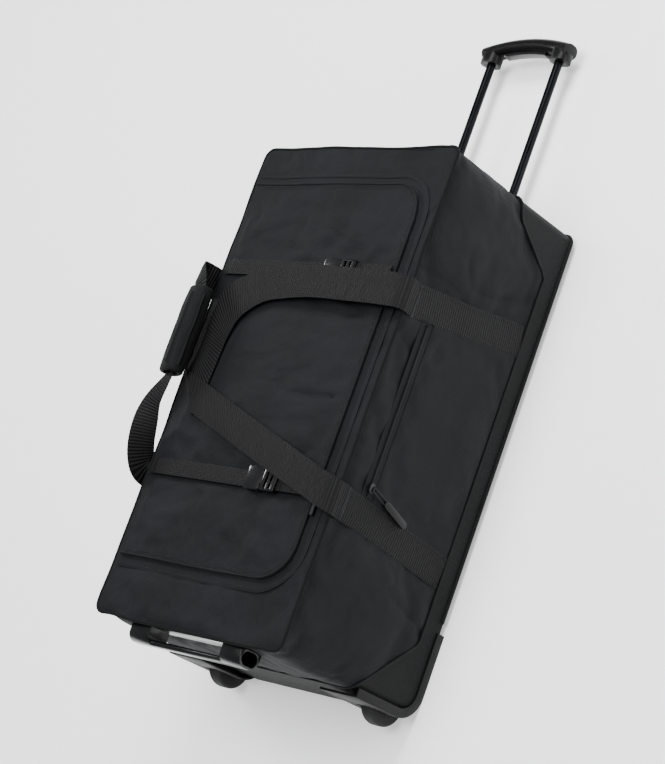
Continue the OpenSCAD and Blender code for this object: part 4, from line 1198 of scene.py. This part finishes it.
@dataclass
class HaulLoops:
    """The two long haul loops, the webbing sewn down the sides, and the padded wrap."""

    root_x: float = 203.6
    root_top: float = 282.0
    wrap_x: float = -186.0
    wrap_y: float = 56.0
    wrap_z: float = 334.0
    wrap_l: float = 140.0
    fold_r: float = 2.4

    def fold_row(self, degrees: float) -> tuple[float, ...]:
        """One row of the right loop's fold, from 0 degrees below to 180 above."""
        a = math.radians(degrees)
        out, z = self.fold_r * math.sin(a), FRONT_Z + 13.5 + self.fold_r * (1 - math.cos(a))
        return (-176 - 0.809 * out, 2 - 0.588 * out, z, -126 - 0.809 * out, -67 - 0.588 * out, z)

    def right_rows(self) -> tuple[np.ndarray, np.ndarray]:
        """The two edges of the right loop, which is folded over itself at the lower end of its grip."""
        x, zf = self.root_x, FRONT_Z
        before = [(x, 175, zf - 16, x, 125, zf - 16), (x + 1.4, 175, zf - 6, x + 1.4, 125, zf - 6),
                  (x + 2.6, 175, zf + 1, x + 2.6, 125, zf + 1), (x - 2, 175, zf + 10, x - 2, 125, zf + 10),
                  (186, 175.5, zf + 16, 186, 124.5, zf + 16), (150, 176, zf + 20, 150, 125, zf + 20),
                  (100, 177, zf + 23, 100, 125.5, zf + 23), (40, 178, zf + 23.5, 40, 127, zf + 23.5),
                  (-15, 176, zf + 22, -15, 124, zf + 21), (-60, 170, zf + 22, -58, 118, zf + 19),
                  (-100, 161, zf + 22.5, -86, 104, zf + 18), (-135, 147, zf + 22.5, -104, 88, zf + 17),
                  (-156, 126, zf + 20.5, -111, 72, zf + 16), (-163, 96, zf + 17.5, -115, 58, zf + 15),
                  (-166, 60, zf + 15, -117, 40, zf + 14.5), (-169, 30, zf + 14, -120, -5, zf + 14),
                  (-172.5, 14, zf + 13.7, -123.5, -40, zf + 13.7), self.fold_row(0)]
        after = [self.fold_row(180), (-160, -3.5, zf + 18.8, -112, -71.5, zf + 18.8),
                 (-120, -17, zf + 22, -85, -81, zf + 21.5), (-60, -38.5, zf + 24, -35, -98, zf + 23.5),
                 (0, -60, zf + 23.5, 15, -116, zf + 23.5), (60, -81, zf + 23.5, 70, -135, zf + 23.5),
                 (110, -98.5, zf + 23.5, 115, -150.5, zf + 23.5), (155, -114, zf + 21, 157, -164.5, zf + 21),
                 (186, -125, zf + 16, 186, -175, zf + 16), (x - 2, -129.5, zf + 10, x - 2, -179.5, zf + 10),
                 (x + 2.6, -131, zf + 1, x + 2.6, -181, zf + 1), (x + 1.4, -131, zf - 6, x + 1.4, -181, zf - 6),
                 (x, -131, zf - 16, x, -181, zf - 16)]
        turn = np.array([self.fold_row(d) for d in range(20, 180, 20)])
        rows = np.concatenate([smooth_route(before, 5), turn, smooth_route(after, 5)])
        return rows[:, :3], rows[:, 3:]

    def left_rows(self) -> tuple[np.ndarray, np.ndarray]:
        """The two edges of the left loop, which is narrow inside the wrap and stands off the bag's edge."""
        x, zf, wx, wy, wz = self.root_x, FRONT_Z, self.wrap_x, self.wrap_y, self.wrap_z
        half = self.wrap_l / 2
        route = [(-x, 150, zf - 16), (-x - 2.4, 150, zf - 4), (-x - 4.4, 152, zf + 8), (-x - 7, 154, zf + 22),
                 (-x - 3, 152, zf + 34), (wx - 6, wy + half + 12, wz + 3), (wx, wy + half - 8, wz), (wx, wy, wz),
                 (wx, wy - half + 8, wz), (wx - 4, wy - half - 16, wz + 1), (-x - 1, -62, zf + 34),
                 (-x - 7, -96, zf + 27), (-x - 8, -128, zf + 18), (-x - 4.8, -150, zf + 7),
                 (-x - 2.4, -156, zf - 4), (-x, -156, zf - 16)]
        facing = [(-1, 0, 0), (-1, 0, 0), (-1, 0, 0.1), (-1, 0, 0.3), (-0.8, 0.2, 0.7), (-0.4, 0.1, 1),
                  (-0.36, 0, 1), (-0.36, 0, 1), (-0.36, 0, 1), (-0.2, 0, 1), (0.3, 0, 1), (0.8, -0.1, 0.6),
                  (1, -0.1, 0.3), (1, 0, 0.1), (1, 0, 0), (1, 0, 0)]
        share = [1, 1, 0.96, 0.86, 0.72, 0.62, 0.6, 0.6, 0.6, 0.62, 0.66, 0.76, 0.86, 0.96, 1, 1]
        path = smooth_route(route, 5)
        widths = smooth_route([(s,) for s in share], 5)[:, 0] * HAUL_W
        return Band.edges(path, smooth_route(facing, 5), widths)

    def build(self, looks: Wardrobe) -> None:
        """Make both loops, the side webbing and the wrap."""
        webbing = looks["nylon_webbing"]
        band = Band(HAUL_T)
        right = band.strip("right_haul_webbing", *self.right_rows())
        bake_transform(right, "bag", "right_haul", (0.204, 0, 0.288), (0.196, 0, 0.312))
        finish_piece(right, webbing, "right_haul", ["haul_loop_right"])
        left = band.strip("left_haul_webbing", *self.left_rows())
        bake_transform(left, "bag", "left_haul", (-0.204, 0, 0.288), (-0.210, 0, 0.312))
        finish_piece(left, webbing, "left_haul", ["haul_loop_left"])
        for side in Side:
            self.side_webbing(side, webbing)
        self.wrap(looks)

    def side_webbing(self, side: Side, webbing: bpy.types.Material) -> None:
        """The two bands sewn down one long side."""
        bands = []
        for top, foot in ((150.0, 190.0), (-156.0, -175.0)):
            x = side.value * (SIDE_X + HAUL_T / 2)
            route = np.linspace((x, top, 286.0), (x, foot, 47.5), 30)
            bands.append(Drape.apply(Band().sweep(f"sewn_band_{side.name.lower()}", route, (side.value, 0, 0),
                                                  HAUL_W)))
        joined = join(bands, f"sewn_webbing_{side.name.lower()}_band")
        finish_piece(joined, webbing, "bag", [f"sewn_webbing_{side.name.lower()}"])

    def wrap(self, looks: Wardrobe) -> None:
        """The padded wrap: a soft tube, open at both ends, with a closing edge along it."""
        around, along = 40, 26
        tilt = Matrix.Rotation(math.radians(-20), 3, "Y")
        points = []
        for layer, shrink in ((0, 0.0), (1, 7.0)):
            for j in range(along):
                t = j / (along - 1)
                y = self.wrap_l / 2 - self.wrap_l * t
                full = 1.0 + 0.05 * math.sin(math.pi * t) - 0.07 * (2 * t - 1) ** 8
                for i in range(around):
                    a = 2 * math.pi * i / around
                    c, s = math.cos(a), math.sin(a)
                    rx = (26.0 - shrink) * full * math.copysign(abs(c) ** 0.75, c)
                    rz = (16.0 - shrink) * full * math.copysign(abs(s) ** 0.8, s)
                    fold = 0.7 * noise.noise(Vector((c * 2, y / 22.0, s * 2))) if layer == 0 else 0.0
                    spot = tilt @ Vector((rx * (1 + fold / 26), 0, rz * (1 + fold / 16)))
                    points.append((spot.x + self.wrap_x, y + self.wrap_y, spot.z + self.wrap_z))
        outer = grid_faces(along, around, wrap=True)
        shift = along * around
        faces = [tuple(f) for f in outer] + [tuple(reversed([v + shift for v in f])) for f in outer]
        for j in (0, along - 1):
            for i in range(around):
                a, b = j * around + i, j * around + (i + 1) % around
                quad = (a, b, b + shift, a + shift)
                faces.append(quad if j == 0 else tuple(reversed(quad)))
        pad = from_arrays("grip_wrap_pad", np.array(points), faces)
        Band.point_outwards(pad)
        subdivide(pad)
        smooth_shade(pad, 60)
        finish_piece(pad, looks["padded_wrap_cloth"], "left_haul", ["grip_wrap"])
        self.closing_flap(tilt, looks["padded_wrap_cloth"])

    def closing_flap(self, tilt: Matrix, material: bpy.types.Material) -> None:
        """The stitched flap that closes the wrap along its lower side."""
        edges = []
        for x, z in ((12.0, 18.2), (30.0, 2.0)):
            spot = tilt @ Vector((x, 0.0, z))
            edges.append(np.array([(spot.x + self.wrap_x + 0.5 * math.sin(y / 9), y + self.wrap_y, spot.z + self.wrap_z)
                                   for y in np.linspace(56.0, -60.0, 24)]))
        strip = Band(2.4, across=6, belly=3.4).strip("wrap_closing_flap", *edges)
        strip.data.materials.append(material)
        finish_piece(strip, material, "left_haul")


def join(things: Sequence[bpy.types.Object], name: str) -> bpy.types.Object:
    """Join meshes into one object."""
    shape = bmesh.new()
    for thing in things:
        shape.from_mesh(thing.data)
    mesh = bpy.data.meshes.new(name)
    shape.to_mesh(mesh)
    shape.free()
    for material in things[0].data.materials:
        mesh.materials.append(material)
    for thing in things:
        bpy.data.objects.remove(thing)
    joined = link(mesh, name)
    smooth_shade(joined, 70)
    return joined


@dataclass
class CompressionStraps:
    """The two narrow straps over the flap, with their buckles."""

    surface: float = 306.9

    def build(self, looks: Wardrobe) -> None:
        """Make the webbing of both straps."""
        webbing = looks["nylon_webbing"]
        for label, y in (("upper", STRAP_UPPER_Y), ("lower", STRAP_LOWER_Y)):
            narrow = Band(1.6, across=4)
            route = [(-186, y, 304.4), (-176, y, 305.4), (-165, y, 307.2), (-100, y, 307.9), (-30, y, 307.6),
                     (20, y, 307.6), (34, y, 308.6), (44, y, 310.2)]
            anchor = narrow.sweep(f"{label}_strap_anchor_webbing", smooth_route(route, 5), (0, 0, 1), STRAP_W)
            finish_piece(anchor, webbing, "flap", [f"{label}_strap_anchor"])
            tail_route = [(86, y, 311.2), (92, y, 311.6), (98, y, 310.6), (110, y, 310.2), (140, y, 310.0),
                          (154, y, 309.6), (166, y, 309.3)]
            tail = narrow.sweep(f"{label}_strap_tail_webbing", smooth_route(tail_route, 5), (0, 0, 1), STRAP_W)
            finish_piece(tail, webbing, f"plug_{label}", [f"{label}_strap_tail"])
            soften_node(f"buckle_socket_{label}", f"buckle_socket_{label}_moulding", 0.7, looks["polished_acetal"],
                        "flap")
            soften_node(f"buckle_plug_{label}", f"buckle_plug_{label}_moulding", 0.6, looks["polished_acetal"],
                        f"plug_{label}")


# ---------------------------------------------------------------- pocket, zips and stitching


@dataclass
class SidePocket:
    """The flat pocket on the right side, with its zip."""

    columns: int = 34
    rows: int = 26

    def build(self, looks: Wardrobe) -> None:
        """Make the pocket's cloth."""
        z0, z1 = 47.4, 227.0
        points, pins = [], []
        for r in range(self.rows):
            z = z0 + (z1 - z0) * r / (self.rows - 1)
            t = (286.0 - z) / 238.6
            low, high = -156 - 19 * t + 25, 150 + 40 * t - 25
            for c in range(self.columns):
                points.append((SIDE_X + 1.5, low + (high - low) * c / (self.columns - 1), z))
                pins.append(1.0 if c in (0, self.columns - 1) or r in (0, self.rows - 1) else 0.0)
        faces = grid_faces(self.rows, self.columns)
        sheet = from_arrays("side_pocket_cloth", np.array(points), faces)
        out = np.tile([1.0, 0.0, 0.0], (len(points), 1))
        ClothPass(pressure=0.6, spare=0.008, cap_out=3.6, cap_in=0.3).settle(sheet, np.array(pins), out)
        subdivide(sheet)
        points = coordinates(sheet)
        edge = np.minimum.reduce([points[:, 2] - z0, z1 - points[:, 2], 130 - np.abs(points[:, 1])])
        wave = ripple(points, 80, 0.8, (1, 1, 1.4), 17.0)
        points[:, 0] += wave * np.clip(edge / 30, 0, 1)
        points[:, 0] = np.maximum(points[:, 0], SIDE_X + 0.9)
        draped = Drape.move(points)
        draped[:, 0] = self.below_pull(draped)
        set_coordinates(sheet, draped)
        thicken(sheet, 0.9)
        smooth_shade(sheet, 60)
        finish_piece(sheet, looks["coated_woven_polyester"], "bag", ["side_pocket_panel"])

    @staticmethod
    def below_pull(points: np.ndarray) -> np.ndarray:
        """How far out the cloth stands, pressed in under the reach of the zip's pull."""
        x, reach = points[:, 0], np.clip((points[:, 2] - 100.0) / 30.0, 0.0, 1.0)
        level, spare = SIDE_X + 2.6, 1.4
        pressed = level + spare * np.tanh(np.maximum(x - level, 0.0) / spare)
        return np.where(x > level, x + (pressed - x) * reach, x)


class Trimmings:
    """Stitch rows and zip teeth, set along their paths by Geometry Nodes."""

    def __init__(self, looks: Wardrobe) -> None:
        """Keep the finishes."""
        self.looks = looks

    def build(self) -> None:
        """Lay every row."""
        thread = self.looks["bonded_thread"]
        stitch = RowMaker(RowKind.STITCH, 4.2, (3.2, 0.8, 0.7))
        on_flap = stitch.lay("flap_stitching", [flap_path(-5.5, 18, 303.9), flap_path(-8.5, 18, 304.1)], (0, 0, 1),
                             thread)
        finish_piece(on_flap, thread, "flap")
        on_border = stitch.lay("border_stitching", [flap_path(13.2, 3, 299.7)], (0, 0, 1), thread)
        finish_piece(on_border, thread, "bag")
        sides = []
        for side in Side:
            x = side.value * (SIDE_X + HAUL_T + 0.1)
            for top, foot in ((150.0, 190.0), (-156.0, -175.0)):
                for inset in (-21.5, 21.5):
                    sides.append([(x, top + inset, 284.0), (x, foot + inset, 49.0)])
        rows = stitch.lay("side_webbing_stitching", sides, (1, 0, 0), thread)
        finish_piece(rows, thread, "bag")
        tacks = [[(side.value * (SIDE_X + HAUL_T + 0.1), y - 23, z), (side.value * (SIDE_X + HAUL_T + 0.1), y + 23, z)]
                 for side in Side for y in (150.5, -156.5) for z in (276.0, 277.6, 279.2)]
        # The bar tacks use the greyer thread, whose colour is a painted highlight
        bars = RowMaker(RowKind.STITCH, 1.9, (1.7, 0.9, 0.8)).lay("bar_tacks", tacks, (1, 0, 0),
                                                                  self.looks["bar_tack_thread"])
        finish_piece(bars, self.looks["bar_tack_thread"], "bag")
        tooth = RowMaker(RowKind.TOOTH, 2.4, (1.3, 2.6, 1.1))
        teeth = tooth.lay("flap_zip_teeth", [flap_path(-0.3, 2, 298.9)], (0, 0, 1), self.looks["bonded_thread"])
        finish_piece(teeth, self.looks["bonded_thread"], "bag")
        pocket = tooth.lay("pocket_zip_teeth", [[(202.0, -128, ZIP_Z), (202.0, 124, ZIP_Z)]], (1, 0, 0),
                           self.looks["bonded_thread"])
        finish_piece(pocket, self.looks["bonded_thread"], "bag")


# ---------------------------------------------------------------- hard parts


class HardParts:
    """Everything moulded, drawn or turned, which keeps its CAD shape with rounded edges."""

    softened = (
        ("bottom_grab_handle", "grab_handle_moulding", 1.6, "glossy_nylon", "bag", "moulded_plastic"),
        ("wheel_housing_left", "wheel_housing_left_moulding", 1.2, "moulded_polypropylene", "bag", "moulded_plastic"),
        ("wheel_housing_right", "wheel_housing_right_moulding", 1.2, "moulded_polypropylene", "bag",
         "moulded_plastic"),
        ("top_bezel", "handle_bezel_moulding", 1.0, "moulded_polypropylene", "bag", "moulded_plastic"),
        ("skid_rail_left", "skid_rail_left_moulding", 1.5, "moulded_polypropylene", "bag", "moulded_plastic"),
        ("skid_rail_right", "skid_rail_right_moulding", 1.5, "moulded_polypropylene", "bag", "moulded_plastic"),
        ("grip_upper_shell", "grip_upper_moulding", 0.8, "satin_grip_plastic", "handle", "grip_plastic"),
        ("grip_lower_shell", "grip_lower_moulding", 0.8, "satin_grip_plastic", "handle", "grip_plastic"),
        ("trigger_bar", "trigger_moulding", 0.8, "polished_acetal", "trigger", "buckle_plastic"),
        ("pocket_pull", "pocket_pull_moulding", 0.7, "satin_grip_plastic", "pocket_zip_pull", "grip_plastic"),
    )
    painted = {
        "pocket_zip_tapes": "coated_woven_polyester", "back_board": "nylon_lining", "tube_cover": "nylon_lining",
        "outer_tubes": "black_anodised_aluminium", "inner_tubes": "black_anodised_aluminium",
        "tube_foot_bracket": "moulded_polypropylene", "skid_rail_centre": "moulded_polypropylene",
        "wheel_axles": "plain_steel", "wheel_bearings": "plain_steel", "bezel_screws": "lacquered_zinc",
        "flap_slider_upper": "lacquered_zinc", "flap_slider_lower": "lacquered_zinc",
        "flap_pull_upper": "lacquered_zinc", "flap_pull_lower": "lacquered_zinc", "pocket_slider": "lacquered_zinc",
        "tube_guide_bushes": "moulded_polypropylene", "push_rods": "plain_steel",
        "lock_pins": "plain_steel", "tyre_left": "polyurethane_tread", "tyre_right": "polyurethane_tread",
        "wheel_hub_left": "moulded_polypropylene", "wheel_hub_right": "moulded_polypropylene",
    }

    def build(self, looks: Wardrobe) -> None:
        """Round and dress every hard part."""
        for node, name, width, finish, body, slot in self.softened:
            soften_node(node, name, width, looks[finish], body)
        for node, finish in self.painted.items():
            dress_node(node, looks[finish])
        self.springs(looks["plain_steel"])

    def springs(self, steel: bpy.types.Material) -> None:
        """The trigger's springs, copied from their CAD shape and carried by the handle."""
        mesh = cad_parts["trigger_springs"].data.copy()
        mesh.materials.clear()
        coils = link(mesh, "trigger_spring_coils")
        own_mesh(coils)
        smooth_shade(coils, 60)
        finish_piece(coils, steel, "handle", ["trigger_springs"])


# ---------------------------------------------------------------- studio


@dataclass
class Studio:
    """A pale floor, soft lights and the camera."""

    camera_place: Point = (2.385, -0.726, 2.371)
    camera_right: Point = (0.6933, 0.3309, -0.6400)
    camera_down: Point = (0.0684, -0.9145, -0.3990)
    camera_ahead: Point = (-0.7178, 0.2332, -0.6564)
    lens: float = 121.5
    floor_glow: float = 0.4

    def build(self) -> None:
        """Make the floor, the lights, the world and the camera."""
        self.floor()
        self.lamp("top_light", (0.2, 0.2, 4.2), 2.6, 260.0)
        self.lamp("key_light", (0.4, 2.4, 2.2), 1.2, 110.0)
        self.lamp("side_light", (3.0, 1.2, 0.9), 1.0, 34.0)
        self.lamp("back_light", (-2.6, 0.9, 1.5), 0.7, 26.0)
        self.lamp("foot_light", (0.6, -2.8, 1.0), 1.0, 34.0)
        world = bpy.data.worlds.new("studio_air")
        world.use_nodes = True
        world.node_tree.nodes["Background"].inputs["Color"].default_value = linear("#f4f5f7")
        world.node_tree.nodes["Background"].inputs["Strength"].default_value = 0.32
        bpy.context.scene.world = world
        self.camera()

    def camera(self) -> None:
        """Place the camera from its own three directions."""
        data = bpy.data.cameras.new("studio_camera")
        data.sensor_width = 36.0
        data.sensor_fit = "HORIZONTAL"
        data.lens = self.lens
        data.clip_start, data.clip_end = 0.1, 50.0
        eye = bpy.data.objects.new("studio_camera", data)
        bpy.context.scene.collection.objects.link(eye)
        right, up, back = Vector(self.camera_right), -Vector(self.camera_down), -Vector(self.camera_ahead)
        turn = Matrix((right, up, back)).transposed()
        eye.matrix_world = Matrix.Translation(self.camera_place) @ turn.to_4x4()
        bpy.context.scene.camera = eye

    def floor(self) -> None:
        """A wide pale floor with a faint mottle."""
        mesh = bpy.data.meshes.new("studio_floor")
        reach = 12.0
        mesh.from_pydata([(-reach, -reach, 0), (reach, -reach, 0), (reach, reach, 0), (-reach, reach, 0)], [],
                         [(0, 1, 2, 3)])
        ground = link(mesh, "studio_floor")
        paper = Moulded("pale_floor", "#f4f5f6", "#fafafb", (0.7, 0.85), 0.0001, grain_mm=20).material()
        shader = paper.node_tree.nodes["Principled BSDF"]
        shader.inputs["Emission Color"].default_value = linear("#ffffff")
        shader.inputs["Emission Strength"].default_value = self.floor_glow
        mesh.materials.append(paper)

    def lamp(self, name: str, place: Point, size: float, power: float) -> None:
        """A soft square light that faces the bag."""
        data = bpy.data.lights.new(name, "AREA")
        data.size = size
        data.energy = power
        thing = bpy.data.objects.new(name, data)
        bpy.context.scene.collection.objects.link(thing)
        look = (Vector((0.0, 0.05, 0.15)) - Vector(place)).to_track_quat("-Z", "Y")
        thing.matrix_world = Matrix.Translation(place) @ look.to_matrix().to_4x4()


def main() -> None:
    """Build the whole bag in order."""
    logging.basicConfig(level=logging.INFO, format="%(name)s: %(message)s")
    Studio().build()
    looks = Wardrobe()
    BagShell().build(looks)
    Flap().build(looks)
    SidePocket().build(looks)
    HaulLoops().build(looks)
    CompressionStraps().build(looks)
    HardParts().build(looks)
    Trimmings(looks).build()


if __name__ == "__main__":
    main()
